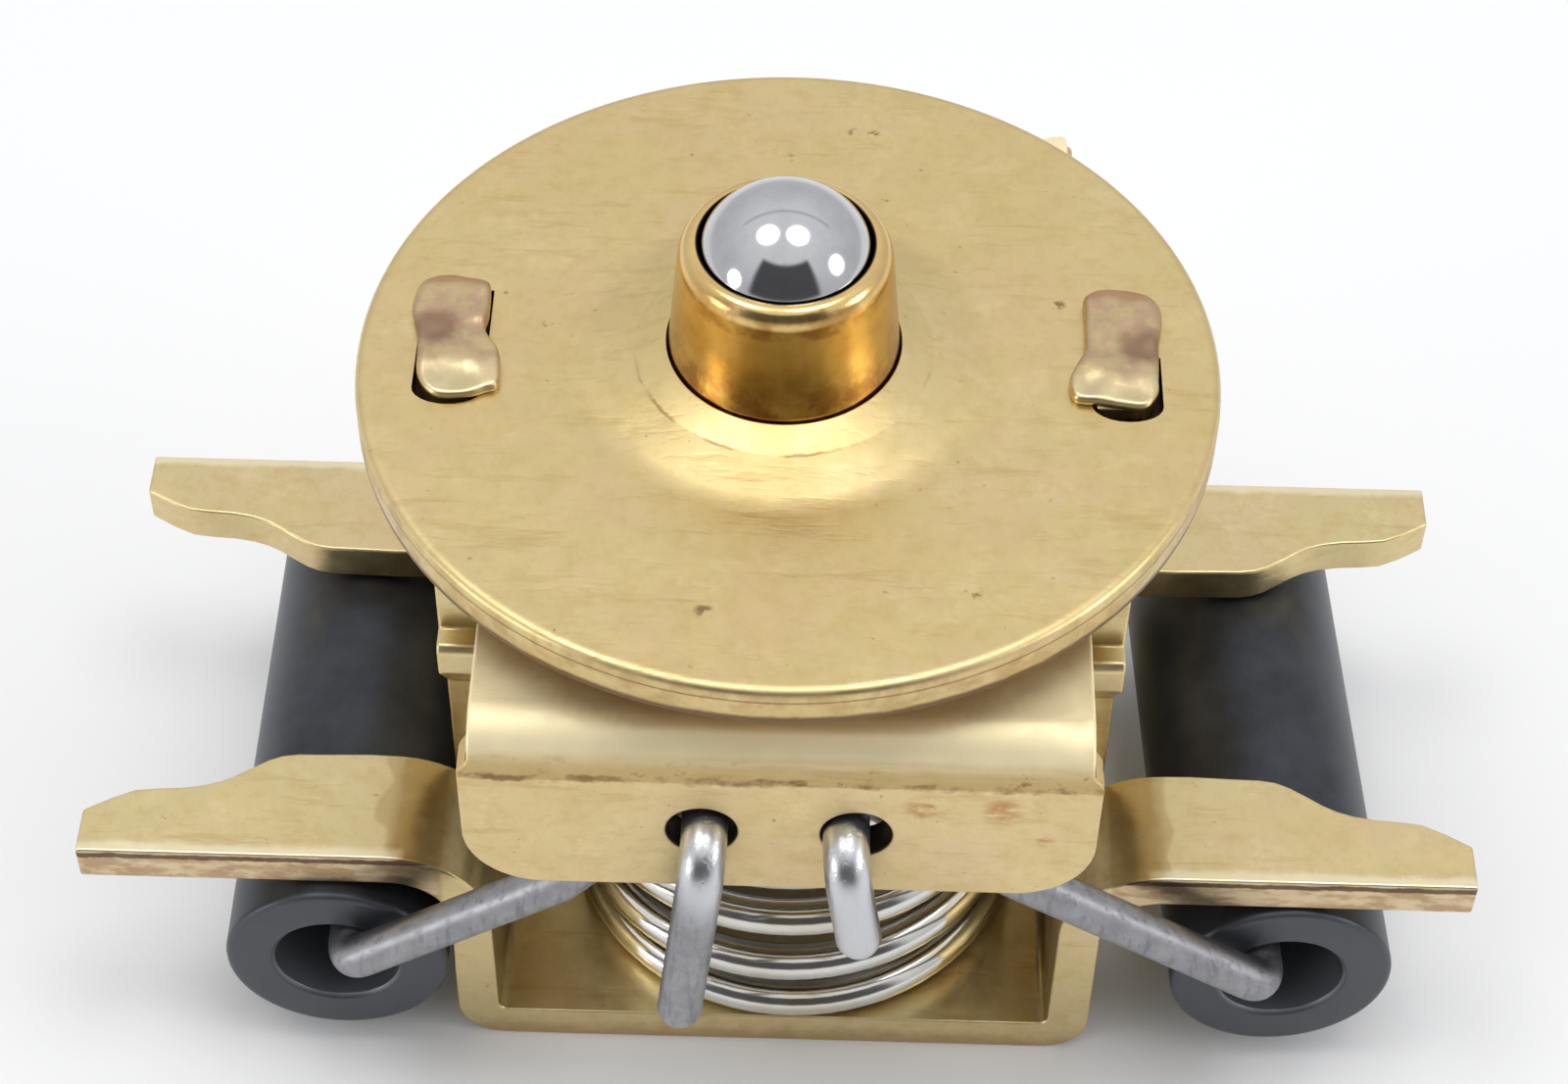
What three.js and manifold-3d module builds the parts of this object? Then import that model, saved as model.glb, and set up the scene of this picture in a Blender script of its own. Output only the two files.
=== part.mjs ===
// Centrifugal speed governor of a small brush motor.
//
// A U-shaped sheet brass frame carries a round cap disc on two staked tabs. A yoke rides under the
// disc on a compression spring. Two bent wire links hang from the yoke and carry tubular fly weights,
// which roll outward under the frame's four wings and pull the yoke down. A steel ball on the yoke's
// plunger rises through a sleeve in the cap and works the speed switch.
//
// Millimetres, +Z up. Z is the spin axis. The origin is the centre of the underside of the base.
// X runs from the left weight to the right weight, and -Y is the front.

import * as THREE from 'three';
import { mergeVertices } from 'three/addons/utils/BufferGeometryUtils.js';
import Module from 'manifold-3d';

const wasm = await Module();
wasm.setup();

// ---- Driving dimensions ----
const SHEET = 1.59;            // frame, cap and wing stock
const FIT = 0.3;               // gap between neighbours that are cut to each other
const TOUCH = 0.03;            // gap between faces that rest on each other
const PAST = 1;                // how far a cutting shape runs past what it cuts

const FRAME_HALF_WIDTH = 12.25;   // to the outer faces of the side walls
const FRAME_HALF_DEPTH = 9.9;
const BASE_BEND = 1.8;            // outer radius where the base turns up into a wall
const BASE_INNER_BEND = 0.4;
const WING_BEND = 3.8;            // outer radius where a wall turns out into a wing
const WING_TOP = 11.4;
const WING_TIP = 25.8;            // half the span over the wings

const CAP_RADIUS = 15.08;
const CAP_BOTTOM = 26.53;
const CAP_TOP = CAP_BOTTOM + SHEET;
const CAP_EDGE = 0.4;

const BALL_RADIUS = 3.175;
const BALL_X = -0.17;             // the ball, its sleeve and its plunger sit left of the cap's middle
const BALL_HEIGHT = 32.3;

const YOKE_SHEET = 1.27;
const YOKE_TOP = 24.4;
const YOKE_HALF_WIDTH = 10.42;
const YOKE_HALF_DEPTH = 14.5;     // to the outer faces of the two lips
const YOKE_BEND = 1.83;
const YOKE_LIP_BOTTOM = 16.7;
const YOKE_LIP_CORNER = 2.7;
const YOKE_LIP_HALF_WIDTH = 10.78;   // the lips are a little wider than the plate between the walls
const YOKE_FLARE = 0.3;              // height over which the sides flare out, just under the plate
const YOKE_SHIFT = 0.12;             // the yoke sits this far to the right between the walls
const YOKE_BENT_OUT = 2.9;           // the back lip's right end is bent out by this much

const LINK_WIRE = 0.8;            // radius of the wire
const LINK_BEND = 1.6;            // bend radius on the wire's centre line
const ELBOW_BEND = 1.0;           // the same beside the weights, where the wire turns tighter
const PIVOT_X = 2.4;              // where a link hinges in the yoke's holes
const PIVOT_Z = 19.9;
const LINK_HOLE_X = 2.62;         // either side of the yoke's middle
const LINK_HOLE = 1.22;

const WEIGHT_RADIUS = 4.2;
const WEIGHT_BORE = 2.35;
const WEIGHT_HALF_LENGTH = 10.5;
const WEIGHT_Z = 5.45;

const SPRING_RADIUS = 8.18;       // of the wire's centre line
const SPRING_WIRE = 0.7;
const SPRING_OFFSET = { x: 0.7, y: -1.4 };
const SPRING_TURNS = 7.65;
const SPRING_START = 150;         // degrees about Z where the wire begins at the bottom

const SHAFT_RADIUS = 3.175;       // bore of the drive hub, for a 6.35 mm shaft
const HUB_RADIUS = 5.2;
const HUB_STUB = 4.2;             // where the hub passes through the base
const HUB_TOP = 8.6;

// ---- Making and cutting solids ----
function weld(geometry) {
  const bare = geometry.clone();
  bare.deleteAttribute('normal');
  bare.deleteAttribute('uv');
  return mergeVertices(bare, 1e-5);
}

function toSolid(geometry) {
  const welded = weld(geometry);
  return new wasm.Manifold(new wasm.Mesh({
    numProp: 3,
    vertProperties: new Float32Array(welded.attributes.position.array),
    triVerts: new Uint32Array(welded.index.array),
  }));
}

function toGeometry(solid) {
  const mesh = solid.getMesh();
  const geometry = new THREE.BufferGeometry();
  geometry.setAttribute('position', new THREE.BufferAttribute(new Float32Array(mesh.vertProperties), 3));
  geometry.setIndex(new THREE.BufferAttribute(new Uint32Array(mesh.triVerts), 1));
  geometry.computeVertexNormals();
  return geometry;
}

// An outline of [x, z] points, extruded along Y from -half to +half.
function alongY(points, half) {
  const shape = new THREE.Shape(points.map(([x, z]) => new THREE.Vector2(x, z)));
  const geometry = new THREE.ExtrudeGeometry(shape, { depth: 2 * half, bevelEnabled: false });
  return geometry.rotateX(Math.PI / 2).translate(0, half, 0);
}

// An outline of [y, z] points, extruded along X from low to high in a number of steps.
function alongX(points, low, high, steps = 1) {
  const shape = new THREE.Shape(points.map(([y, z]) => new THREE.Vector2(y, z)));
  const geometry = new THREE.ExtrudeGeometry(shape, { depth: high - low, steps, bevelEnabled: false });
  const turn = new THREE.Matrix4().makeBasis(
    new THREE.Vector3(0, 1, 0), new THREE.Vector3(0, 0, 1), new THREE.Vector3(1, 0, 0));
  return geometry.applyMatrix4(turn).translate(low, 0, 0);
}

// An outline of [x, y] points, extruded along Z from low to high.
function alongZ(points, low, high) {
  const shape = new THREE.Shape(points.map(([x, y]) => new THREE.Vector2(x, y)));
  const geometry = new THREE.ExtrudeGeometry(shape, { depth: high - low, bevelEnabled: false });
  return geometry.translate(0, 0, low);
}

function cylinder(radius, low, high, segments = 32) {
  const geometry = new THREE.CylinderGeometry(radius, radius, high - low, segments);
  return geometry.rotateX(Math.PI / 2).translate(0, 0, (low + high) / 2);
}

function box(low, high) {
  const size = high.map((value, i) => value - low[i]);
  const middle = high.map((value, i) => (value + low[i]) / 2);
  return new THREE.BoxGeometry(...size).translate(...middle);
}

// A closed profile of [radius, z] points, turned about Z.
function turned(profile, segments = 32) {
  const points = [...profile, profile[0]].map(([radius, z]) => new THREE.Vector2(radius, z));
  return new THREE.LatheGeometry(points, segments).rotateX(Math.PI / 2);
}

// Points on an arc, from one angle to another in degrees, both ends included.
function arc(cx, cy, radius, from, to, steps = 6) {
  return Array.from({ length: steps + 1 }, (_, i) => {
    const angle = THREE.MathUtils.degToRad(from + (to - from) * i / steps);
    return [cx + radius * Math.cos(angle), cy + radius * Math.sin(angle)];
  });
}

function mirrored(points) {
  return points.map(([u, v]) => [-u, v]).reverse();
}

// ---- Wire ----
// A chain of straight stretches through the corners, with each corner rounded.
function wireCurve(corners) {
  const points = corners.map(([x, y, z]) => new THREE.Vector3(x, y, z));
  const curve = new THREE.CurvePath();
  let start = points[0];
  for (let i = 1; i < points.length - 1; i += 1) {
    const back = points[i - 1].clone().sub(points[i]).normalize();
    const ahead = points[i + 1].clone().sub(points[i]).normalize();
    const halfAngle = back.angleTo(ahead) / 2;
    const trim = corners[i][3] / Math.tan(halfAngle);
    const enter = points[i].clone().addScaledVector(back, trim);
    const leave = points[i].clone().addScaledVector(ahead, trim);
    curve.add(new THREE.LineCurve3(start, enter));
    curve.add(new THREE.QuadraticBezierCurve3(enter, points[i], leave));
    start = leave;
  }
  curve.add(new THREE.LineCurve3(start, points[points.length - 1]));
  return curve;
}

function wire(curve, radius, sides, steps) {
  const section = new THREE.Shape(arc(0, 0, radius, 0, 360 * (1 - 1 / sides), sides - 1)
    .map(([u, v]) => new THREE.Vector2(u, v)));
  return new THREE.ExtrudeGeometry(section, { extrudePath: curve, steps, bevelEnabled: false });
}

// ---- Frame: base, side walls, wings and risers with staked tabs ----
const WALL_INNER = FRAME_HALF_WIDTH - SHEET;
const WING_BEND_X = WALL_INNER + WING_BEND;
const WING_BEND_Z = WING_TOP - WING_BEND;
const RISER_HALF_WIDTH = 5.0;
const EAR_HALF_WIDTH = 6.7;       // the riser's square ears, which stop the yoke from turning
const EAR_BOTTOM = 18.3;
const EAR_TOP = 19.7;
const NECK_HALF_WIDTH = 5.7;
const TAB_FRONT = -2.1;           // a tab passes through its slot between these two depths
const TAB_BACK = 2.75;
const HEAD_HEIGHT = 0.7;

// The bent sheet's section: base, wall and wing of the right half.
function frameSection() {
  return [
    [0, 0],
    ...arc(FRAME_HALF_WIDTH - BASE_BEND, BASE_BEND, BASE_BEND, -90, 0),
    ...arc(WING_BEND_X, WING_BEND_Z, WING_BEND - SHEET, 180, 90),
    [WING_TIP, WING_TOP - SHEET],
    [WING_TIP, WING_TOP],
    ...arc(WING_BEND_X, WING_BEND_Z, WING_BEND, 90, 180),
    ...arc(WALL_INNER - BASE_INNER_BEND, SHEET + BASE_INNER_BEND, BASE_INNER_BEND, 0, -90, 3),
    [0, SHEET],
  ];
}

// The gap between the front and back wings of the right side, as seen from above.
function wingGap() {
  const edge = [
    [WALL_INNER - PAST, 5.1], [18.0, 5.1], [19.2, 5.4], [20.5, 6.3], [21.5, 6.75], [24.0, 7.0],
    [WING_TIP, 8.0], [WING_TIP + PAST, 8.0],
  ];
  const nearSide = edge.map(([x, y]) => [x, -y]);
  return [...nearSide, ...edge.reverse()];
}

// A riser and its tab, as seen from the side.
function riserOutline() {
  const half = [
    [RISER_HALF_WIDTH, WING_BEND_Z - PAST],
    [RISER_HALF_WIDTH, EAR_BOTTOM - 2.4],
    [EAR_HALF_WIDTH, EAR_BOTTOM],
    [EAR_HALF_WIDTH, EAR_TOP - 0.3],
    [EAR_HALF_WIDTH - 0.2, EAR_TOP],
    [NECK_HALF_WIDTH, EAR_TOP],
    [NECK_HALF_WIDTH, CAP_BOTTOM - TOUCH],
  ];
  const tab = [
    [TAB_BACK, CAP_BOTTOM - TOUCH],
    [TAB_BACK, CAP_TOP + TOUCH],
    [TAB_FRONT, CAP_TOP + TOUCH],
    [TAB_FRONT, CAP_BOTTOM - TOUCH],
  ];
  return [...half, ...tab, ...mirrored(half)];
}

// The staked head on the right tab, from above: the punch has spread its back end outward and its
// front end inward.
function stakedHead() {
  const outline = [
    [13.08, 1.2], [13.1, 2.3], [12.95, 2.85], [12.45, 3.2], [11.8, 3.3], [11.1, 3.2], [10.6, 2.95],
    [10.45, 2.5], [10.48, 0.75], [10.2, 0.1], [9.9, -0.9], [9.97, -1.95], [11.3, -2.3], [12.25, -2.2],
    [12.75, -1.4], [12.88, 0.4],
  ];
  return alongZ(outline, CAP_TOP + TOUCH, CAP_TOP + HEAD_HEIGHT);
}

function frameGeometry() {
  const right = frameSection();
  const outline = [...mirrored(right).slice(1, -1), ...right];
  let solid = toSolid(alongY(outline, FRAME_HALF_DEPTH));
  const gap = toSolid(alongZ(wingGap(), WING_BEND_Z, WING_TOP + PAST));
  const riser = toSolid(alongX(riserOutline(), WALL_INNER, FRAME_HALF_WIDTH)).add(toSolid(stakedHead()));
  for (const side of [-1, 1]) {
    solid = solid.subtract(gap.scale([side, 1, 1]));
    solid = solid.add(riser.scale([side, 1, 1]));
  }
  return toGeometry(solid.subtract(toSolid(cylinder(HUB_STUB + FIT, -PAST, SHEET + PAST))));
}

// ---- Cap disc and ball sleeve ----
const SLEEVE_FOOT = 4.0;          // outer radius where the sleeve leaves the disc
const SLEEVE_OUTER = 3.7;         // outer radius under its rounded shoulder
const SLEEVE_INNER = 3.27;
const SLEEVE_RIM = 3.0;           // radius of the mouth, turned in over the ball
const SLEEVE_FLANGE = 5.0;
const SLEEVE_TOP = 33.62;
const CAP_RING_RISE = 0.8;        // the disc is drawn up round the sleeve into a raised ring
const CAP_RING_RADIUS = 5.2;
const CAP_SLOPE_RADIUS = 7.1;
const CAP_UNDER_SHIFT = 0.3;      // the slope's underside lies this much further out
const SLOT_INNER_X = 10.3;
const SLOT_OUTER_X = 12.9;

function capDiscGeometry() {
  const holeRadius = SLEEVE_FOOT + FIT / 2;
  const disc = turned([
    [CAP_SLOPE_RADIUS + CAP_UNDER_SHIFT, CAP_BOTTOM],
    ...arc(CAP_RADIUS - CAP_EDGE, CAP_BOTTOM + CAP_EDGE, CAP_EDGE, -90, 0, 3),
    ...arc(CAP_RADIUS - CAP_EDGE, CAP_TOP - CAP_EDGE, CAP_EDGE, 0, 90, 3),
    [CAP_SLOPE_RADIUS, CAP_TOP],
    [CAP_RING_RADIUS, CAP_TOP + CAP_RING_RISE],
    [holeRadius, CAP_TOP + CAP_RING_RISE],
    [holeRadius, CAP_BOTTOM + CAP_RING_RISE],
    [CAP_RING_RADIUS + CAP_UNDER_SHIFT, CAP_BOTTOM + CAP_RING_RISE],
  ], 48);
  moveMiddle(disc, CAP_SLOPE_RADIUS + 2 * CAP_UNDER_SHIFT, BALL_X);
  const slot = toSolid(box(
    [SLOT_INNER_X, TAB_FRONT - FIT, CAP_BOTTOM - PAST],
    [SLOT_OUTER_X, TAB_BACK + FIT, CAP_TOP + PAST]));
  return toGeometry(toSolid(disc).subtract(slot).subtract(slot.scale([-1, 1, 1])));
}

// Moves the vertices within a radius of the axis sideways, along X.
function moveMiddle(geometry, radius, distance) {
  const position = geometry.attributes.position;
  for (let i = 0; i < position.count; i += 1) {
    if (Math.hypot(position.getX(i), position.getY(i)) < radius) {
      position.setX(i, position.getX(i) + distance);
    }
  }
}

function ballSleeveGeometry() {
  const flangeTop = CAP_BOTTOM + CAP_RING_RISE - TOUCH;
  return turned([
    [SLEEVE_INNER, flangeTop - 0.5],
    [SLEEVE_FLANGE, flangeTop - 0.5],
    [SLEEVE_FLANGE, flangeTop],
    [SLEEVE_FOOT, flangeTop],
    [SLEEVE_FOOT, CAP_TOP + CAP_RING_RISE + 0.3],
    [SLEEVE_OUTER, SLEEVE_TOP - 1.3],
    [SLEEVE_OUTER - 0.1, SLEEVE_TOP - 0.55],
    [SLEEVE_OUTER - 0.4, SLEEVE_TOP - 0.12],
    [SLEEVE_RIM + 0.15, SLEEVE_TOP],
    [SLEEVE_RIM, SLEEVE_TOP],
    [SLEEVE_RIM, SLEEVE_TOP - 0.12],
    [SLEEVE_RIM + 0.13, SLEEVE_TOP - 0.34],
    [SLEEVE_INNER, SLEEVE_TOP - 0.74],
  ]).translate(BALL_X, 0, 0);
}

// ---- Ball and plunger ----
const PLUNGER_HEAD = 2.6;
const PLUNGER_SHANK = 1.6;
const PLUNGER_TAIL = 2.4;
const PLUNGER_CUP = 2.3;
const PLUNGER_TAIL_HEIGHT = 0.8;

function ballGeometry() {
  const ball = new THREE.SphereGeometry(BALL_RADIUS, 24, 14);
  return ball.rotateX(Math.PI / 2).translate(BALL_X, 0, BALL_HEIGHT);
}

// A rivet through the yoke whose head has a conical cup under the ball.
function plungerGeometry() {
  const cupSlope = Math.tan(THREE.MathUtils.degToRad(25));
  const cupBottom = BALL_HEIGHT - (BALL_RADIUS + TOUCH) * Math.hypot(1, cupSlope);
  const headTop = cupBottom + PLUNGER_CUP * cupSlope;
  const headBottom = YOKE_TOP + TOUCH;
  const tailTop = YOKE_TOP - YOKE_SHEET - TOUCH;
  const tailBottom = tailTop - PLUNGER_TAIL_HEIGHT;
  const points = [
    [0, tailBottom],
    [PLUNGER_TAIL - 0.5, tailBottom],
    [PLUNGER_TAIL, tailBottom + 0.5],
    [PLUNGER_TAIL, tailTop],
    [PLUNGER_SHANK, tailTop],
    [PLUNGER_SHANK, headBottom],
    [PLUNGER_HEAD, headBottom],
    [PLUNGER_HEAD, headTop],
    [PLUNGER_CUP, headTop],
    [0, cupBottom],
  ].map(([radius, z]) => new THREE.Vector2(radius, z));
  return new THREE.LatheGeometry(points, 24).rotateX(Math.PI / 2).translate(BALL_X, 0, 0);
}

// ---- Yoke ----
function yokeSection() {
  const outer = YOKE_HALF_DEPTH - YOKE_BEND;
  const bendZ = YOKE_TOP - YOKE_BEND;
  const half = [
    ...arc(outer, bendZ, YOKE_BEND, 90, 0),
    [YOKE_HALF_DEPTH, YOKE_LIP_BOTTOM],
    [YOKE_HALF_DEPTH - YOKE_SHEET, YOKE_LIP_BOTTOM],
    ...arc(outer, bendZ, YOKE_BEND - YOKE_SHEET, 0, 90),
  ];
  return [...half, ...mirrored(half)];
}

// The yoke as seen from the front: square at the top, flaring into the lips with their round corners.
function yokeFrontOutline() {
  const cornerX = YOKE_LIP_HALF_WIDTH - YOKE_LIP_CORNER;
  const half = [
    ...arc(cornerX, YOKE_LIP_BOTTOM + YOKE_LIP_CORNER, YOKE_LIP_CORNER, -90, 0),
    [YOKE_LIP_HALF_WIDTH, YOKE_TOP - YOKE_SHEET - YOKE_FLARE],
    [YOKE_HALF_WIDTH, YOKE_TOP - YOKE_SHEET],
    [YOKE_HALF_WIDTH, YOKE_TOP + PAST],
  ];
  return [...half, ...mirrored(half)].map(([x, z]) => [x + YOKE_SHIFT, z]);
}

// Moves the right end of the back lip outward, past the last hole.
function bendBackLip(geometry) {
  const position = geometry.attributes.position;
  const start = YOKE_SHIFT + LINK_HOLE_X + LINK_HOLE;
  for (let i = 0; i < position.count; i += 1) {
    if (position.getY(i) > YOKE_HALF_DEPTH / 2) {
      const share = THREE.MathUtils.clamp((position.getX(i) - start) / (YOKE_HALF_WIDTH - start), 0, 1);
      position.setY(i, position.getY(i) + YOKE_BENT_OUT * share);
    }
  }
  return geometry;
}

function yokeGeometry() {
  const reach = YOKE_HALF_DEPTH + YOKE_BENT_OUT + PAST;
  const half = YOKE_LIP_HALF_WIDTH + PAST;
  const strip = bendBackLip(alongX(yokeSection(), -half, half, 12));
  let solid = toSolid(strip).intersect(toSolid(alongY(yokeFrontOutline(), reach)));
  for (const x of [-LINK_HOLE_X, LINK_HOLE_X]) {
    const hole = cylinder(LINK_HOLE, -reach, reach, 24);
    solid = solid.subtract(toSolid(hole.rotateX(Math.PI / 2).translate(x + YOKE_SHIFT, 0, PIVOT_Z)));
  }
  const rivetHole = cylinder(PLUNGER_SHANK + FIT / 2, YOKE_TOP - YOKE_SHEET - PAST, YOKE_TOP + PAST, 24);
  solid = solid.subtract(toSolid(rivetHole.translate(BALL_X, 0, 0)));
  return toGeometry(solid);
}

// ---- Wire links and fly weights ----
// A link's place: the side it is on, how far out its weight's axis is at the front and at the back,
// how far the axle lies inboard of that axis and above it, the depth of the axle's front and back
// ends, how far the weight has slid back along it, the knee in its arms, how long its bent-down
// front end is, and how far that end leans out.
const ARM_Y = 12.15;              // plane of an arm from its knee up, just inside the yoke's lips
const FRONT_Y = 15.9;             // plane of the bent ends, just outside the lips
const BACK_END_LENGTH = 4.4;
const LEFT = {
  side: -1, frontX: 16.6, backX: 16.75, inset: 0.62, lift: 1.35, axleFront: 11.35, axleBack: 11.35,
  slide: 0, knee: [7.6, 13.6], endLength: 9.0, endLean: 0.9,
};
const RIGHT = {
  side: 1, frontX: 19.3, backX: 18.4, inset: 0.9, lift: 1.05, axleFront: 11.1, axleBack: 11.9,
  slide: 0.4, knee: [8.4, 14.6], endLength: 4.4, endLean: 0.6,
};

// How far out the weight's axis is at a given depth.
function weightX(place, y) {
  const share = (y + WEIGHT_HALF_LENGTH) / (2 * WEIGHT_HALF_LENGTH);
  return place.frontX + (place.backX - place.frontX) * share;
}

function linkGeometry(place) {
  const { side, inset, lift, axleFront, axleBack, knee, endLength, endLean } = place;
  const axleZ = WEIGHT_Z + lift;
  const corners = [
    [side * (PIVOT_X + endLean), -FRONT_Y, PIVOT_Z - endLength],
    [side * PIVOT_X, -FRONT_Y, PIVOT_Z, LINK_BEND],
    [side * PIVOT_X, -ARM_Y, PIVOT_Z, LINK_BEND],
    [side * knee[0], -ARM_Y, knee[1], LINK_BEND],
    [side * (weightX(place, -axleFront) - inset), -axleFront, axleZ, ELBOW_BEND],
    [side * (weightX(place, axleBack) - inset), axleBack, axleZ, ELBOW_BEND],
    [side * knee[0], ARM_Y, knee[1], LINK_BEND],
    [side * PIVOT_X, ARM_Y, PIVOT_Z, LINK_BEND],
    [side * PIVOT_X, FRONT_Y, PIVOT_Z, LINK_BEND],
    [side * PIVOT_X, FRONT_Y, PIVOT_Z - BACK_END_LENGTH],
  ];
  return wire(wireCurve(corners), LINK_WIRE, 6, 120);
}

function weightGeometry(place) {
  const end = WEIGHT_HALF_LENGTH;
  const chamfer = 0.3;
  const mouth = 0.15;
  const tube = turned([
    [WEIGHT_BORE, -end + mouth],
    [WEIGHT_BORE + mouth, -end],
    [WEIGHT_RADIUS - chamfer, -end],
    [WEIGHT_RADIUS, -end + chamfer],
    [WEIGHT_RADIUS, end - chamfer],
    [WEIGHT_RADIUS - chamfer, end],
    [WEIGHT_BORE + mouth, end],
    [WEIGHT_BORE, end - mouth],
  ]);
  const skew = Math.atan2(place.side * (place.backX - place.frontX), 2 * end);
  const middle = place.side * (place.frontX + place.backX) / 2;
  tube.rotateX(Math.PI / 2).translate(0, place.slide, 0);
  return tube.rotateZ(-skew).translate(middle, 0, WEIGHT_Z);
}

// ---- Compression spring ----
const SPRING_BOTTOM = SHEET + SPRING_WIRE + TOUCH;
const SPRING_TOP = YOKE_TOP - YOKE_SHEET - SPRING_WIRE - TOUCH;
const SPRING_EASE = 0.9;          // turns over which the pitch opens up at each end
const SPRING_PITCH = (SPRING_TOP - SPRING_BOTTOM) / (SPRING_TURNS - SPRING_EASE);

// How far the wire has climbed from an end, starting flat and easing into the full pitch.
function climb(turn) {
  if (turn < SPRING_EASE) {
    return SPRING_PITCH * turn * turn / (2 * SPRING_EASE);
  }
  return SPRING_PITCH * (turn - SPRING_EASE / 2);
}

class SpringCurve extends THREE.Curve {
  getPoint(t, target = new THREE.Vector3()) {
    const turn = t * SPRING_TURNS;
    const fromTop = SPRING_TURNS - turn;
    const z = turn < fromTop ? SPRING_BOTTOM + climb(turn) : SPRING_TOP - climb(fromTop);
    const angle = THREE.MathUtils.degToRad(SPRING_START + 360 * turn);
    return target.set(
      SPRING_OFFSET.x + SPRING_RADIUS * Math.cos(angle),
      SPRING_OFFSET.y + SPRING_RADIUS * Math.sin(angle),
      z);
  }
}

function springGeometry() {
  return wire(new SpringCurve(), SPRING_WIRE, 6, Math.round(18 * SPRING_TURNS));
}

// ---- Drive hub ----
function driveHubGeometry() {
  const shoulder = SHEET + TOUCH;
  return turned([
    [SHAFT_RADIUS, 0],
    [HUB_STUB, 0],
    [HUB_STUB, shoulder],
    [HUB_RADIUS, shoulder],
    [HUB_RADIUS, HUB_TOP - 0.3],
    [HUB_RADIUS - 0.3, HUB_TOP],
    [SHAFT_RADIUS, HUB_TOP],
  ]);
}

// ---- Materials and assembly ----
const BRASS = { color: 0xc9b06a, roughness: 0.38, metalness: 1 };
const CAP_BRASS = { color: 0xd2c184, roughness: 0.36, metalness: 1 };
const SLEEVE_BRASS = { color: 0xc98a3a, roughness: 0.22, metalness: 1 };
const BALL_STEEL = { color: 0xd8dadd, roughness: 0.08, metalness: 1 };
const TURNED_STEEL = { color: 0x9a9a98, roughness: 0.4, metalness: 1 };
const WIRE_STEEL = { color: 0x85858a, roughness: 0.45, metalness: 1 };
const SPRING_STEEL = { color: 0xc9c6bf, roughness: 0.25, metalness: 1 };
const OXIDE_STEEL = { color: 0x3a3d45, roughness: 0.5, metalness: 0.8 };

function part(name, geometry, finish) {
  const mesh = new THREE.Mesh(geometry, new THREE.MeshStandardMaterial(finish));
  mesh.name = name;
  return mesh;
}

const governor = new THREE.Group();
governor.add(
  part('frame', frameGeometry(), BRASS),
  part('cap_disc', capDiscGeometry(), CAP_BRASS),
  part('ball_sleeve', ballSleeveGeometry(), SLEEVE_BRASS),
  part('ball', ballGeometry(), BALL_STEEL),
  part('plunger', plungerGeometry(), TURNED_STEEL),
  part('yoke', yokeGeometry(), BRASS),
  part('spring', springGeometry(), SPRING_STEEL),
  part('left_link', linkGeometry(LEFT), WIRE_STEEL),
  part('right_link', linkGeometry(RIGHT), WIRE_STEEL),
  part('left_weight', weightGeometry(LEFT), OXIDE_STEEL),
  part('right_weight', weightGeometry(RIGHT), OXIDE_STEEL),
  part('drive_hub', driveHubGeometry(), TURNED_STEEL),
);

export default governor;
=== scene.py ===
# Centrifugal motor governor: the looks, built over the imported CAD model.
#
# Shapes are written in millimetres in the row frame, as the CAD model is, and turned into metres when
# a mesh is made. Z is the spin axis, +X runs towards the right weight and -Y is the front.

import math

import bmesh
import bpy
from mathutils import Matrix, Vector, noise


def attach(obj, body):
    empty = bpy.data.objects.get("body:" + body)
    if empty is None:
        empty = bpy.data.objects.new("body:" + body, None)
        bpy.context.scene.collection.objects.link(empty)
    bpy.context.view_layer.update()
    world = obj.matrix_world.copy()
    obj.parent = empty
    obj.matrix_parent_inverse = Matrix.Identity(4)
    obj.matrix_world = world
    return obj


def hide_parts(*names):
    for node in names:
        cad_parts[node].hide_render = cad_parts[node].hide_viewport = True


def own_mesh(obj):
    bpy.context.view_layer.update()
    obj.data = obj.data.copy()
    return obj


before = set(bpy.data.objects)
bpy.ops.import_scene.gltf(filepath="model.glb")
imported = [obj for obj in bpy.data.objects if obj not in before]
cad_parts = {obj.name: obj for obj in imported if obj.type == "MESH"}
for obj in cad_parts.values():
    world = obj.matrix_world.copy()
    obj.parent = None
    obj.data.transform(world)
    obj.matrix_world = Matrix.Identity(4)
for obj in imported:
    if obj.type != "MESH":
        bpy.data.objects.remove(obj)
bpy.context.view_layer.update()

MM = 0.001

# ---- Sizes shared with the CAD model, in millimetres ----
SHEET = 1.59
TOUCH = 0.03                # gap between faces that rest on each other
PAST = 1                    # how far a cutting shape runs past what it cuts
HALF_WIDTH = 12.25          # frame, to the outer faces of its walls
HALF_DEPTH = 9.9
BASE_BEND = 1.8
BASE_INNER_BEND = 0.4
WING_BEND = 3.8
WING_TOP = 11.4
WING_TIP = 25.8
CAP_RADIUS = 15.08
CAP_BOTTOM = 26.53
CAP_TOP = CAP_BOTTOM + SHEET
BALL_RADIUS = 3.175
BALL_X = -0.17              # the ball, its sleeve and its plunger sit left of the cap's middle
BALL_HEIGHT = 32.3
PLUNGER_SHANK = 1.6
PLUNGER_TAIL = 2.4
PLUNGER_TAIL_HEIGHT = 0.8
PLUNGER_HEAD = 2.6
PLUNGER_CUP = 2.3
YOKE_SHEET = 1.27
YOKE_TOP = 24.4
YOKE_HALF_WIDTH = 10.42
YOKE_HALF_DEPTH = 14.5
YOKE_BEND = 1.83
LIP_BOTTOM = 16.7
LIP_CORNER = 2.7
LIP_HALF_WIDTH = 10.78
YOKE_SHIFT = 0.12           # the yoke sits this far to the right between the walls
YOKE_BENT_OUT = 2.9         # how far out the back lip's bend would reach at its right end
YOKE_BENT_SHARE = 0.95      # the share of that it stops at, which keeps it in the CAD box
YOKE_FLARE = 0.3            # height over which the sides flare out, just under the plate
LINK_WIRE = 0.8
LINK_BEND = 1.6
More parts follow.
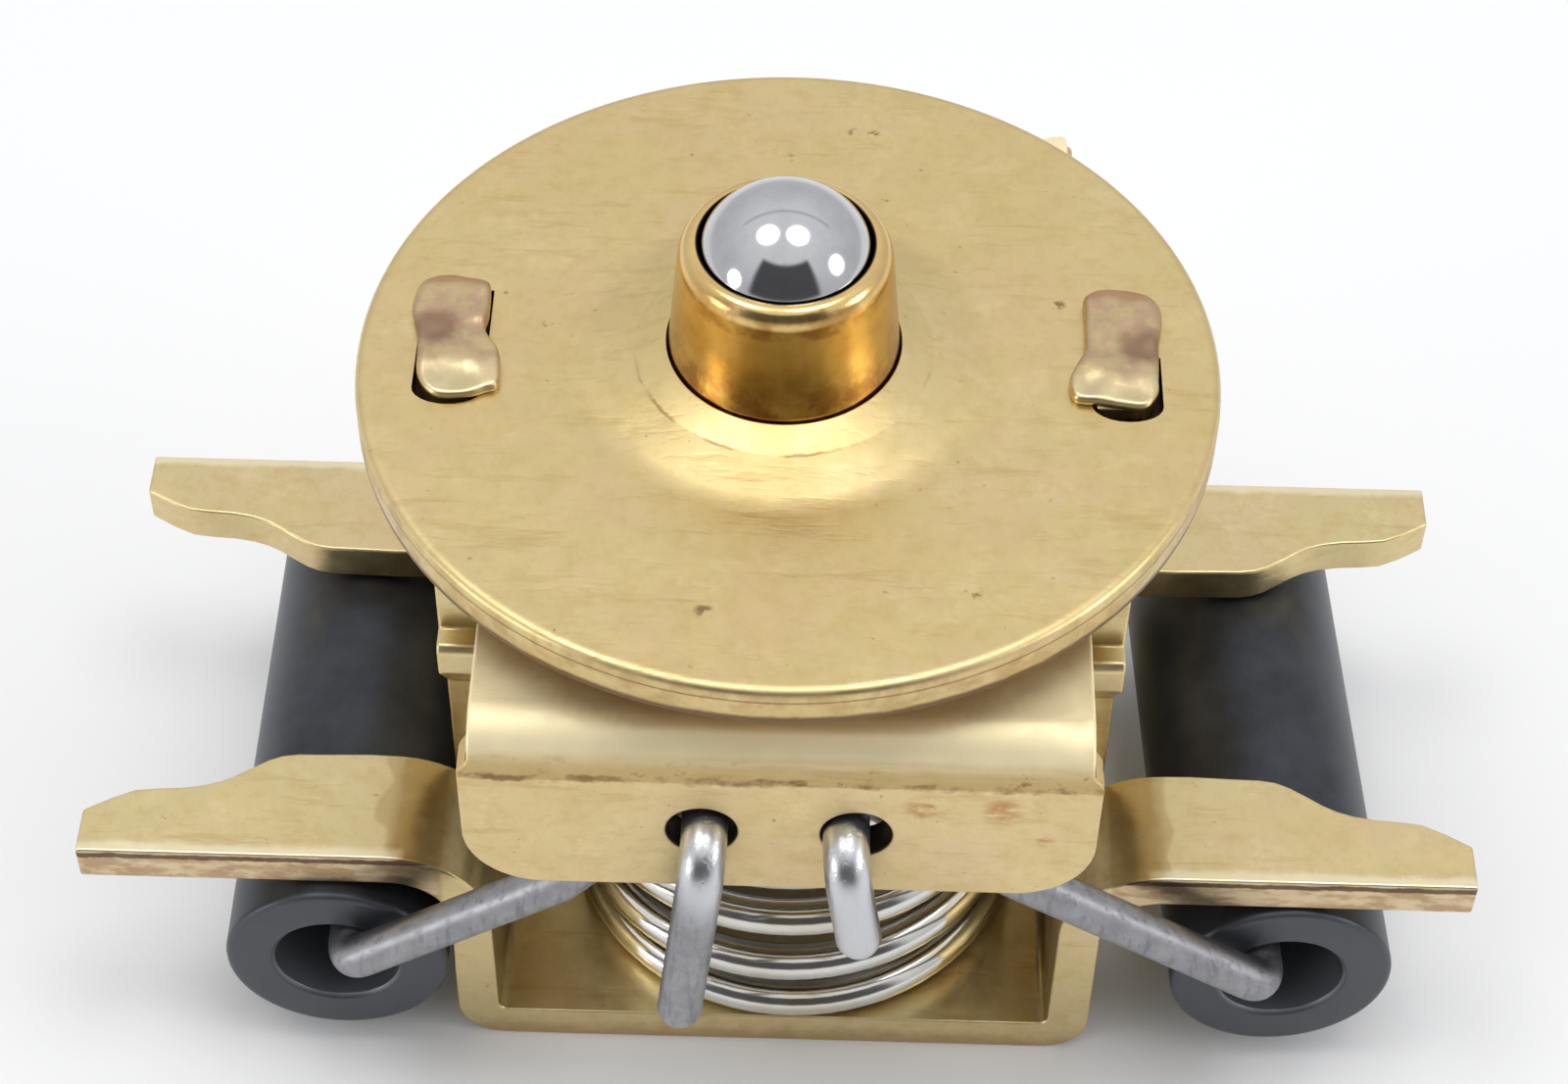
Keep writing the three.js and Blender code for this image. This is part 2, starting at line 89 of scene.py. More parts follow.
ELBOW_BEND = 1.0            # beside the weights, where the wire turns tighter
PIVOT_X = 2.4               # where a link hinges in the yoke's holes
PIVOT_Z = 19.9
LINK_HOLES_X = (YOKE_SHIFT - 2.62, YOKE_SHIFT + 2.62)
LINK_HOLE = 1.18            # before its edges are rounded
WEIGHT_RADIUS = 4.2
WEIGHT_BORE = 2.35
WEIGHT_HALF_LENGTH = 10.5
WEIGHT_Z = 5.45
SPRING_RADIUS = 8.18
SPRING_WIRE = 0.7
SPRING_OFFSET = (0.7, -1.4)
SPRING_TURNS = 7.65
SPRING_START = 150
SHAFT_RADIUS = 3.175
HUB_RADIUS = 5.2
HUB_STUB = 4.2
HUB_TOP = 8.6


# ---- Outlines ----
def arc(cx, cy, radius, start, end, steps=14):
    """Points on an arc between two angles in degrees, both ends included."""
    points = []
    for i in range(steps + 1):
        angle = math.radians(start + (end - start) * i / steps)
        points.append((cx + radius * math.cos(angle), cy + radius * math.sin(angle)))
    return points


def mirrored(points):
    return [(-u, v) for u, v in reversed(points)]


def rounded(corners, steps=6):
    """A closed outline whose (u, v, radius) corners are rounded."""
    outline = []
    for i, (u, v, radius) in enumerate(corners):
        here = Vector((u, v))
        back = Vector(corners[i - 1][:2]) - here
        ahead = Vector(corners[(i + 1) % len(corners)][:2]) - here
        if radius <= 0:
            outline.append((u, v))
            continue
        half = back.angle(ahead) / 2
        trim = min(radius / math.tan(half), 0.49 * back.length, 0.49 * ahead.length)
        enter = here + back.normalized() * trim
        leave = here + ahead.normalized() * trim
        for k in range(steps + 1):
            t = k / steps
            point = enter * (1 - t) ** 2 + here * 2 * t * (1 - t) + leave * t * t
            outline.append((point.x, point.y))
    return outline


def smooth_loop(corners, steps=5):
    """A smooth closed curve through the corners."""
    points = []
    for i in range(len(corners)):
        a, b, c, d = (Vector(corners[(i + k - 1) % len(corners)]) for k in range(4))
        for k in range(steps):
            t = k / steps
            square = (2 * a - 5 * b + 4 * c - d) * t ** 2
            cube = (3 * b - a - 3 * c + d) * t ** 3
            points.append((2 * b + (c - a) * t + square + cube) / 2)
    return points


# ---- Meshes ----
def make_object(name, points, faces, sharp=35):
    """A smooth-shaded object from points in millimetres, sharp where faces meet at a steep angle."""
    mesh = bpy.data.meshes.new(name)
    mesh.from_pydata([[c * MM for c in p] for p in points], [], faces)
    mesh.validate()
    obj = bpy.data.objects.new(name, mesh)
    bpy.context.scene.collection.objects.link(obj)
    smooth(obj, sharp)
    return obj


def smooth(obj, sharp=35):
    tool = bmesh.new()
    tool.from_mesh(obj.data)
    bmesh.ops.recalc_face_normals(tool, faces=tool.faces)
    tool.to_mesh(obj.data)
    tool.free()
    obj.data.shade_smooth()
    obj.data.set_sharp_from_angle(angle=math.radians(sharp))


def turned(name, profile, segments=160, centre=(0, 0)):
    """A closed (radius, z) profile turned about Z; a radius of 0 closes on the axis."""
    points = []
    rings = []
    for radius, z in profile:
        if radius < 1e-6:
            rings.append([len(points)] * segments)
            points.append((centre[0], centre[1], z))
            continue
        rings.append(list(range(len(points), len(points) + segments)))
        for k in range(segments):
            angle = 2 * math.pi * k / segments
            points.append((centre[0] + radius * math.cos(angle), centre[1] + radius * math.sin(angle), z))
    faces = []
    for i, ring in enumerate(rings):
        following = rings[(i + 1) % len(rings)]
        if ring[0] == ring[1] and following[0] == following[1]:
            continue
        for k in range(segments):
            j = (k + 1) % segments
            corners = [ring[k], ring[j], following[j], following[k]]
            faces.append(list(dict.fromkeys(corners)))
    return make_object(name, points, faces)


def extruded(name, outline, low, high, axis):
    """An outline pushed along an axis. Along Y it holds (x, z), along X (y, z) and along Z (x, y)."""
    place = {
        "x": lambda u, v, w: (w, u, v),
        "y": lambda u, v, w: (u, w, v),
        "z": lambda u, v, w: (u, v, w),
    }[axis]
    count = len(outline)
    points = [place(u, v, low) for u, v in outline] + [place(u, v, high) for u, v in outline]
    faces = [list(range(count)), list(range(count, 2 * count))]
    for i in range(count):
        j = (i + 1) % count
        faces.append([i, j, count + j, count + i])
    return make_object(name, points, faces)


def sweep(name, path, radii, sides=20):
    """A round wire along a path of points, with a radius for each of them."""
    points = []
    rings = []
    path = [Vector(p) for p in path]
    across = None
    for i, centre in enumerate(path):
        ahead = path[min(i + 1, len(path) - 1)] - path[max(i - 1, 0)]
        ahead.normalize()
        if across is None:
            across = ahead.orthogonal().normalized()
        across = (across - ahead * across.dot(ahead)).normalized()
        up = ahead.cross(across)
        rings.append(len(points))
        for k in range(sides):
            angle = 2 * math.pi * k / sides
            offset = across * math.cos(angle) + up * math.sin(angle)
            points.append(centre + offset * radii[i])
    faces = [list(range(sides)), list(range(rings[-1], rings[-1] + sides))]
    for a, b in zip(rings, rings[1:]):
        for k in range(sides):
            j = (k + 1) % sides
            faces.append([a + k, a + j, b + j, b + k])
    return make_object(name, points, faces)


def apply_modifiers(obj):
    bpy.context.view_layer.update()
    graph = bpy.context.evaluated_depsgraph_get()
    mesh = bpy.data.meshes.new_from_object(obj.evaluated_get(graph))
    obj.modifiers.clear()
    obj.data = mesh


def combine(obj, tools, operation):
    """Cuts or joins the tools into obj, and removes them."""
    for tool in tools:
        modifier = obj.modifiers.new("combine", "BOOLEAN")
        modifier.operation = operation
        modifier.solver = "EXACT"
        modifier.object = tool
        apply_modifiers(obj)
        bpy.data.objects.remove(tool)


def soften_edges(obj, width, segments=3):
    """Rounds an object's sharp edges by a width in millimetres."""
    modifier = obj.modifiers.new("edges", "BEVEL")
    modifier.width = width * MM
    modifier.segments = segments
    modifier.limit_method = "ANGLE"
    modifier.angle_limit = math.radians(30)
    modifier.use_clamp_overlap = False
    apply_modifiers(obj)
    even_shading(obj)


def even_shading(obj):
    """Smooths an object so that its large faces look flat up to their rounded edges."""
    smooth(obj)
    obj.modifiers.new("weighted", "WEIGHTED_NORMAL").keep_sharp = True
    apply_modifiers(obj)


def slice_across(obj, places):
    """Adds edges across the mesh at planes along X, so that it can be bent there."""
    tool = bmesh.new()
    tool.from_mesh(obj.data)
    normal = Vector((1, 0, 0))
    for place in places:
        everything = tool.verts[:] + tool.edges[:] + tool.faces[:]
        bmesh.ops.bisect_plane(tool, geom=everything, plane_co=normal * place * MM, plane_no=normal)
    tool.to_mesh(obj.data)
    tool.free()


# ---- Frame ----
WALL_INNER = HALF_WIDTH - SHEET
WING_BEND_X = WALL_INNER + WING_BEND
WING_BEND_Z = WING_TOP - WING_BEND


def frame_section():
    right = [
        (0, 0),
        *arc(HALF_WIDTH - BASE_BEND, BASE_BEND, BASE_BEND, -90, 0),
        *arc(WING_BEND_X, WING_BEND_Z, WING_BEND - SHEET, 180, 90),
        (WING_TIP, WING_TOP - SHEET),
        (WING_TIP, WING_TOP),
        *arc(WING_BEND_X, WING_BEND_Z, WING_BEND, 90, 180),
        *arc(WALL_INNER - BASE_INNER_BEND, SHEET + BASE_INNER_BEND, BASE_INNER_BEND, 0, -90, 5),
        (0, SHEET),
    ]
    return mirrored(right)[1:-1] + right


def wing_gap():
    """The gap between a side's two wings from above, with the wavy line that the shear left."""
    edge = [
        (WALL_INNER - 1, 5.1), (14.0, 5.1), (15.5, 5.06), (17.2, 5.12), (18.1, 5.14), (18.7, 5.24),
        (19.2, 5.46), (19.8, 5.85), (20.4, 6.26), (20.9, 6.52), (21.5, 6.72), (22.3, 6.86), (23.2, 6.92),
        (24.0, 7.02), (24.8, 7.4), (25.4, 7.76), (WING_TIP, 8.0), (WING_TIP + 1, 8.0),
    ]
    return [(x, -y) for x, y in edge] + edge[::-1]


def riser_outline():
    half = [
        (5.0, WING_BEND_Z - 1), (5.0, 15.9), (6.7, 18.3), (6.7, 19.4), (6.5, 19.7), (5.7, 19.7),
        (5.7, CAP_BOTTOM - TOUCH),
    ]
    tab = [(2.75, CAP_BOTTOM - TOUCH), (2.75, CAP_TOP), (-2.1, CAP_TOP), (-2.1, CAP_BOTTOM - TOUCH)]
    return half + tab + mirrored(half)


# The staked heads from above, as (distance from the axis, depth).
LEFT_HEAD = [
    (13.07, 2.75), (12.63, 3.14), (12.03, 3.25), (11.42, 3.14), (10.8, 3.0), (10.62, 2.63), (10.58, 1.4),
    (10.64, 0.66), (10.41, 0.14), (10.11, -0.36), (10.0, -1.28), (10.03, -1.95), (10.45, -2.15),
    (11.0, -2.4), (11.94, -2.48), (12.49, -2.1), (12.8, -1.39), (12.87, -0.47), (12.93, 0.32),
    (13.11, 1.0), (13.24, 1.73),
]
RIGHT_HEAD = [
    (13.03, 2.41), (12.76, 2.98), (12.32, 3.24), (11.58, 3.37), (10.89, 3.32), (10.43, 2.95), (10.4, 2.33),
    (10.38, 0.72), (10.32, 0.3), (9.98, -0.44), (9.78, -1.1), (9.95, -1.85), (10.68, -1.97),
    (11.48, -2.12), (12.32, -2.15), (12.74, -1.5), (12.79, -0.95), (12.84, -0.23), (12.88, 0.81),
    (13.01, 1.56),
]
# The rings of a head's mesh, from its buried foot to its middle, as (share of the outline, height).
HEAD_RINGS = [
    (0.97, -0.8), (0.98, 0.0), (1.02, 0.06), (1.03, 0.16), (1.02, 0.3), (0.99, 0.4), (0.95, 0.47),
    (0.89, 0.52), (0.8, 0.54), (0.7, 0.54), (0.58, 0.54), (0.45, 0.54), (0.3, 0.54), (0.15, 0.54),
]


def staked_head(name, side, corners):
    """A tab's end, spread by the punch into a low flat head that is wider at the back and the front."""
    outline = smooth_loop(corners)
    middle = Vector((11.6, 0.4))
    points = []
    for share, height in HEAD_RINGS:
        for corner in outline:
            x, y = middle + (corner - middle) * share
            top = 1 - min(max(share, 0.0), 1.0) ** 6
            dent = -0.08 * math.exp(-((y - 0.6) / 0.7) ** 2) - 0.26 * max(0.0, -y - 0.9)
            wave = 0.16 * noise.noise(Vector((x * 1.3, y * 1.3, side * 5.0)))
            points.append((side * x, y, CAP_TOP + height + top * (dent + wave)))
    points.append((side * middle.x, middle.y, CAP_TOP + 0.46))
    count = len(outline)
    faces = [list(range(count))]
    for ring in range(len(HEAD_RINGS) - 1):
        for k in range(count):
            j = (k + 1) % count
            here = ring * count
            faces.append([here + k, here + j, here + count + j, here + count + k])
    last = (len(HEAD_RINGS) - 1) * count
    for k in range(count):
        faces.append([last + k, last + (k + 1) % count, len(points) - 1])
    return make_object(name, points, faces, sharp=70)


def build_frame():
    body = extruded("frame_sheet", frame_section(), -HALF_DEPTH, HALF_DEPTH, "y")
    gap = wing_gap()
    gaps = [
        extruded("gap", gap, WING_BEND_Z, WING_TOP + PAST, "z"),
        extruded("gap", mirrored(gap), WING_BEND_Z, WING_TOP + PAST, "z"),
    ]
    combine(body, gaps, "DIFFERENCE")
    risers = [
        extruded("riser", riser_outline(), WALL_INNER, HALF_WIDTH, "x"),
        extruded("riser", riser_outline(), -HALF_WIDTH, -WALL_INNER, "x"),
    ]
    combine(body, risers, "UNION")
    hub_hole = HUB_STUB + 0.15
    combine(body, [turned("hole", [(0, -1), (hub_hole, -1), (hub_hole, 3), (0, 3)], 64)], "DIFFERENCE")
    soften_edges(body, 0.11)
    heads = [
        staked_head("staked_head_left", -1, LEFT_HEAD),
        staked_head("staked_head_right", 1, RIGHT_HEAD),
    ]
    return [body] + heads


# ---- Cap ----
RING_RISE = 0.8             # the raised ring round the sleeve, at its hole
RING_RADIUS = 5.2           # the crease round it
RING_FOOT = 7.1             # its outer edge
RECESS_DEPTH = 0.55
SLEEVE_FOOT = 4.0
SLEEVE_FLANGE = 5.0
SLEEVE_BORE = 3.27
SLEEVE_MOUTH = 3.0
SLEEVE_TOP = 33.62


def build_cap():
    hole = SLEEVE_FOOT + 0.08
    ring_top = CAP_TOP + RING_RISE + 0.1
    profile = rounded([
        (RING_FOOT + 0.3, CAP_BOTTOM, 0.3),
        (CAP_RADIUS, CAP_BOTTOM, 0.25),
        (CAP_RADIUS, CAP_TOP, 0.42),
        (RING_FOOT, CAP_TOP, 3.5),
        (RING_RADIUS, CAP_TOP + 0.5, 0.3),
        (hole, ring_top, 0.05),
        (hole, CAP_BOTTOM + RING_RISE, 0.05),
        (RING_RADIUS + 0.3, CAP_BOTTOM + RING_RISE, 0.2),
    ], 8)
    disc = turned("cap_plate", profile, 224)
    shift_ring(disc)
    for side in (-1, 1):
        combine(disc, [tab_slot(side), slot_recess(side)], "DIFFERENCE")
    even_shading(disc)
    return disc


def shift_ring(disc):
    """Moves the raised ring and its hole to the ball's axis, which is left of the disc's."""
    for vertex in disc.data.vertices:
        from_axis = math.hypot(vertex.co.x, vertex.co.y) / MM
        if from_axis < RING_FOOT + 1.1:
            vertex.co.x += BALL_X * MM


def tab_slot(side):
    """The slot that a riser's tab comes up through."""
    outline = [(10.6, -2.16), (12.31, -2.16), (12.31, 2.81), (10.6, 2.81)]
    return extruded("slot", [(side * x, y) for x, y in outline], CAP_BOTTOM - PAST, CAP_TOP + PAST, "z")


def slot_recess(side):
    """The slot's wider mouth round the tab, with a bowed front end: a shallow pocket that the cap's finish
    paints near-black as painted shade.
    """
    bottom = CAP_TOP - RECESS_DEPTH
    low, high, bow = 10.5, 12.98, -1.95
    front = arc((low + high) / 2, 0, (high - low) / 2, 180, 360, 12)
    outline = [(x, bow + y * 0.62) for x, y in front] + [(high, 0.4), (12.4, 0.6), (12.4, 2.9), (low, 2.9)]
    return extruded("recess", [(side * x, y) for x, y in outline], bottom, CAP_TOP + PAST, "z")


def build_sleeve():
    flange = CAP_BOTTOM + RING_RISE - TOUCH
    top = SLEEVE_TOP
    shoulder = [(3.12 + 0.57 * c, top - 0.9 + 0.9 * s) for c, s in arc(0, 0, 1, 0, 90, 14)]
    profile = rounded([
        (SLEEVE_BORE, flange - 0.5, 0.05),
        (SLEEVE_FLANGE, flange - 0.5, 0.1),
        (SLEEVE_FLANGE, flange, 0.1),
        (SLEEVE_FOOT, flange, 0.05),
        (SLEEVE_FOOT, CAP_TOP + RING_RISE + 0.3, 0),
    ], 8)
    lip = [
        (SLEEVE_MOUTH, top - 0.02), (SLEEVE_MOUTH, top - 0.12), (3.13, top - 0.34),
        (SLEEVE_BORE, top - 0.76),
    ]
    return turned("sleeve", profile + shoulder + lip, 160, (BALL_X, 0))


# ---- Ball and plunger ----
def build_ball():
    profile = arc(0, BALL_HEIGHT, BALL_RADIUS, -90, 90, 72)
    profile[0] = (0, BALL_HEIGHT - BALL_RADIUS)
    profile[-1] = (0, BALL_HEIGHT + BALL_RADIUS)
    return turned("ball_polished", profile, 144, (BALL_X, 0))


def build_plunger():
    under = YOKE_TOP - YOKE_SHEET - TOUCH
    head = YOKE_TOP + TOUCH
    slope = math.tan(math.radians(25))
    cup = BALL_HEIGHT - (BALL_RADIUS + 0.05) * math.hypot(1, slope)
    rim = cup + PLUNGER_CUP * slope
    bottom = under - PLUNGER_TAIL_HEIGHT
    return turned("plunger_pin", rounded([
        (0, bottom, 0),
        (PLUNGER_TAIL - 0.5, bottom, 0.3),
        (PLUNGER_TAIL, bottom + 0.5, 0.2),
        (PLUNGER_TAIL, under, 0.05),
        (PLUNGER_SHANK, under, 0.05),
        (PLUNGER_SHANK, head, 0.05),
        (PLUNGER_HEAD, head, 0.15),
        (PLUNGER_HEAD, rim, 0.12),
        (PLUNGER_CUP, rim, 0.1),
        (0, cup, 0),
    ], 5), 96, (BALL_X, 0))


# ---- Yoke ----
def yoke_section():
    outer = YOKE_HALF_DEPTH - YOKE_BEND
    bend_z = YOKE_TOP - YOKE_BEND
    half = [
        *arc(outer, bend_z, YOKE_BEND, 90, 0),
        (YOKE_HALF_DEPTH, LIP_BOTTOM),
        (YOKE_HALF_DEPTH - YOKE_SHEET, LIP_BOTTOM),
        *arc(outer, bend_z, YOKE_BEND - YOKE_SHEET, 0, 90),
    ]
    return half + mirrored(half)


def yoke_front():
    flare = rounded([
        (LIP_HALF_WIDTH, LIP_BOTTOM + LIP_CORNER, 0),
        (LIP_HALF_WIDTH, YOKE_TOP - YOKE_SHEET - YOKE_FLARE, 0.4),
        (YOKE_HALF_WIDTH, YOKE_TOP - YOKE_SHEET, 0.4),
        (YOKE_HALF_WIDTH, YOKE_TOP + PAST, 0),
    ], 5)
    half = [
        *arc(LIP_HALF_WIDTH - LIP_CORNER, LIP_BOTTOM + LIP_CORNER, LIP_CORNER, -90, 0, 18),
        *flare[1:],
    ]
    return [(x + YOKE_SHIFT, z) for x, z in half + mirrored(half)]


def bend_back_lip(obj):
    """Bends the back lip's right end outward, from just past the last hole."""
    start = LINK_HOLES_X[1] + LINK_HOLE + 0.1
    for vertex in obj.data.vertices:
        if vertex.co.y / MM > YOKE_HALF_DEPTH / 2:
            share = (vertex.co.x / MM - start) / (YOKE_HALF_WIDTH - start)
            vertex.co.y += YOKE_BENT_OUT * min(max(share, 0), YOKE_BENT_SHARE) * MM


def build_yoke():
    half = LIP_HALF_WIDTH + PAST
    body = extruded("yoke_bracket", yoke_section(), -half, half, "x")
    reach = YOKE_HALF_DEPTH + PAST
    combine(body, [extruded("front", yoke_front(), -reach, reach, "y")], "INTERSECT")
    holes = []
    for x in LINK_HOLES_X:
        outline = arc(x, PIVOT_Z, LINK_HOLE, 0, 352.5, 47)
        holes.append(extruded("hole", outline, -reach, reach, "y"))
    rivet_hole = PLUNGER_SHANK + 0.02
    profile = [(0, 20), (rivet_hole, 20), (rivet_hole, 28), (0, 28)]
    holes.append(turned("hole", profile, 48, (BALL_X, 0)))
    combine(body, holes, "DIFFERENCE")
    soften_edges(body, 0.12, 4)
    slice_across(body, [4.3, 5, 6, 7, 8, 9, 10])
    bend_back_lip(body)
    return body


# ---- Wire links and weights ----
ARM_Y = 12.15               # plane of an arm from its knee up, just inside the yoke's lips
FRONT_Y = 15.9              # plane of its bent ends, just outside the lips
BACK_END_LENGTH = 4.4
# A link's place: how far out its weight's axis is at the front and at the back, how far the axle lies
# inboard of that axis and above it, the depth of the axle's front and back ends, how far the weight
# has slid back, the knee in its arms, and the length and the lean of its bent-down front end.
LEFT = {
    "name": "left", "side": -1, "front": 16.6, "back": 16.75, "inset": 0.62, "lift": 1.35,
    "axle": (11.35, 11.35), "slide": 0.0, "knee": (7.6, 13.6), "end": 9.0, "lean": 0.9,
}
RIGHT = {
    "name": "right", "side": 1, "front": 19.3, "back": 18.4, "inset": 0.9, "lift": 1.05,
    "axle": (11.1, 11.9), "slide": 0.4, "knee": (8.4, 14.6), "end": 4.4, "lean": 0.6,
}


def weight_slope(place):
    """How far out a weight's axis runs for each millimetre towards the back."""
    return (place["back"] - place["front"]) / (2 * WEIGHT_HALF_LENGTH)


def weight_middle(place):
    return (place["front"] + place["back"]) / 2


def weight_x(place, y):
    return weight_middle(place) + weight_slope(place) * y


def wire_path(corners, step=0.3):
    """Points along straight stretches between (x, y, z, bend radius) corners."""
    bends = [c[3] for c in corners]
    corners = [Vector(c[:3]) for c in corners]
    points = [corners[0]]
    for i in range(1, len(corners) - 1):
        back = (corners[i - 1] - corners[i]).normalized()
        ahead = (corners[i + 1] - corners[i]).normalized()
        trim = bends[i] / math.tan(back.angle(ahead) / 2)
        enter = corners[i] + back * trim
        leave = corners[i] + ahead * trim
        add_straight(points, enter, step)
        for k in range(1, 13):
            t = k / 12
            points.append(enter * (1 - t) ** 2 + corners[i] * 2 * t * (1 - t) + leave * t * t)
    add_straight(points, corners[-1], step)
    return points


def add_straight(points, end, step):
    start = points[-1]
    count = max(1, round((end - start).length / step))
    for k in range(1, count + 1):
        points.append(start.lerp(end, k / count))


def build_link(place):
    side = place["side"]
    knee_x, knee_z = place["knee"]
    front, back = place["axle"]
    axle_z = WEIGHT_Z + place["lift"]
    corners = [
        (side * (PIVOT_X + place["lean"]), -FRONT_Y, PIVOT_Z - place["end"], 0),
        (side * PIVOT_X, -FRONT_Y, PIVOT_Z, LINK_BEND),
        (side * PIVOT_X, -ARM_Y, PIVOT_Z, LINK_BEND),
        (side * knee_x, -ARM_Y, knee_z, LINK_BEND),
        (side * (weight_x(place, -front) - place["inset"]), -front, axle_z, ELBOW_BEND),
        (side * (weight_x(place, back) - place["inset"]), back, axle_z, ELBOW_BEND),
        (side * knee_x, ARM_Y, knee_z, LINK_BEND),
        (side * PIVOT_X, ARM_Y, PIVOT_Z, LINK_BEND),
        (side * PIVOT_X, FRONT_Y, PIVOT_Z, LINK_BEND),
        (side * PIVOT_X, FRONT_Y, PIVOT_Z - BACK_END_LENGTH, 0),
    ]
    path = wire_path(corners)
    blunt = LINK_WIRE - 0.14
    radii = [blunt] + [LINK_WIRE] * (len(path) - 2) + [blunt]
    return sweep(f"{place['name']}_link_wire", path, radii, 28)


def build_weight(place):
    end = WEIGHT_HALF_LENGTH
    profile = rounded([
        (WEIGHT_BORE, -end + 0.15, 0.1),
        (WEIGHT_BORE + 0.15, -end, 0.1),
        (WEIGHT_RADIUS, -end, 0.32),
        (WEIGHT_RADIUS, end, 0.32),
        (WEIGHT_BORE + 0.15, end, 0.1),
        (WEIGHT_BORE, end - 0.15, 0.1),
    ], 6)
    tube = turned(f"{place['name']}_weight_tube", profile, 128)
    skew = math.atan(place["side"] * weight_slope(place))
    middle = place["side"] * weight_middle(place)
    turn = Matrix.Translation((middle * MM, 0, WEIGHT_Z * MM))
    turn = turn @ Matrix.Rotation(-skew, 4, "Z") @ Matrix.Translation((0, place["slide"] * MM, 0))
    tube.data.transform(turn @ Matrix.Rotation(math.pi / 2, 4, "X"))
    smooth(tube)
    return tube


# ---- Spring ----
SPRING_BOTTOM = SHEET + SPRING_WIRE + TOUCH
SPRING_TOP = YOKE_TOP - YOKE_SHEET - SPRING_WIRE - TOUCH
SPRING_EASE = 0.9           # turns over which an end closes up against its seat
SPRING_PITCH = (SPRING_TOP - SPRING_BOTTOM) / (SPRING_TURNS - SPRING_EASE)


def climb(turn):
    """Height of the wire above a closed end after some turns."""
    if turn < SPRING_EASE:
        return SPRING_PITCH * turn * turn / (2 * SPRING_EASE)
    return SPRING_PITCH * (turn - SPRING_EASE / 2)


def build_spring():
    path = []
    steps = round(72 * SPRING_TURNS)
    for i in range(steps + 1):
        turn = SPRING_TURNS * i / steps
        from_top = SPRING_TURNS - turn
        z = SPRING_BOTTOM + climb(turn) if turn < from_top else SPRING_TOP - climb(from_top)
        angle = math.radians(SPRING_START + 360 * turn)
        path.append((
            SPRING_OFFSET[0] + SPRING_RADIUS * math.cos(angle),
            SPRING_OFFSET[1] + SPRING_RADIUS * math.sin(angle),
            z,
        ))
    return sweep("spring_coil", path, [SPRING_WIRE] * len(path), 20)


# ---- Drive hub ----
def build_hub():
    shoulder = SHEET + TOUCH
    return turned("hub_bushing", rounded([
        (SHAFT_RADIUS, 0.0, 0.15),
        (HUB_STUB, 0.0, 0.15),
        (HUB_STUB, shoulder, 0.02),
        (HUB_RADIUS, shoulder, 0.15),
        (HUB_RADIUS, HUB_TOP - 0.3, 0.1),
        (HUB_RADIUS - 0.3, HUB_TOP, 0.1),
        (SHAFT_RADIUS, HUB_TOP, 0.15),
    ], 5), 96)


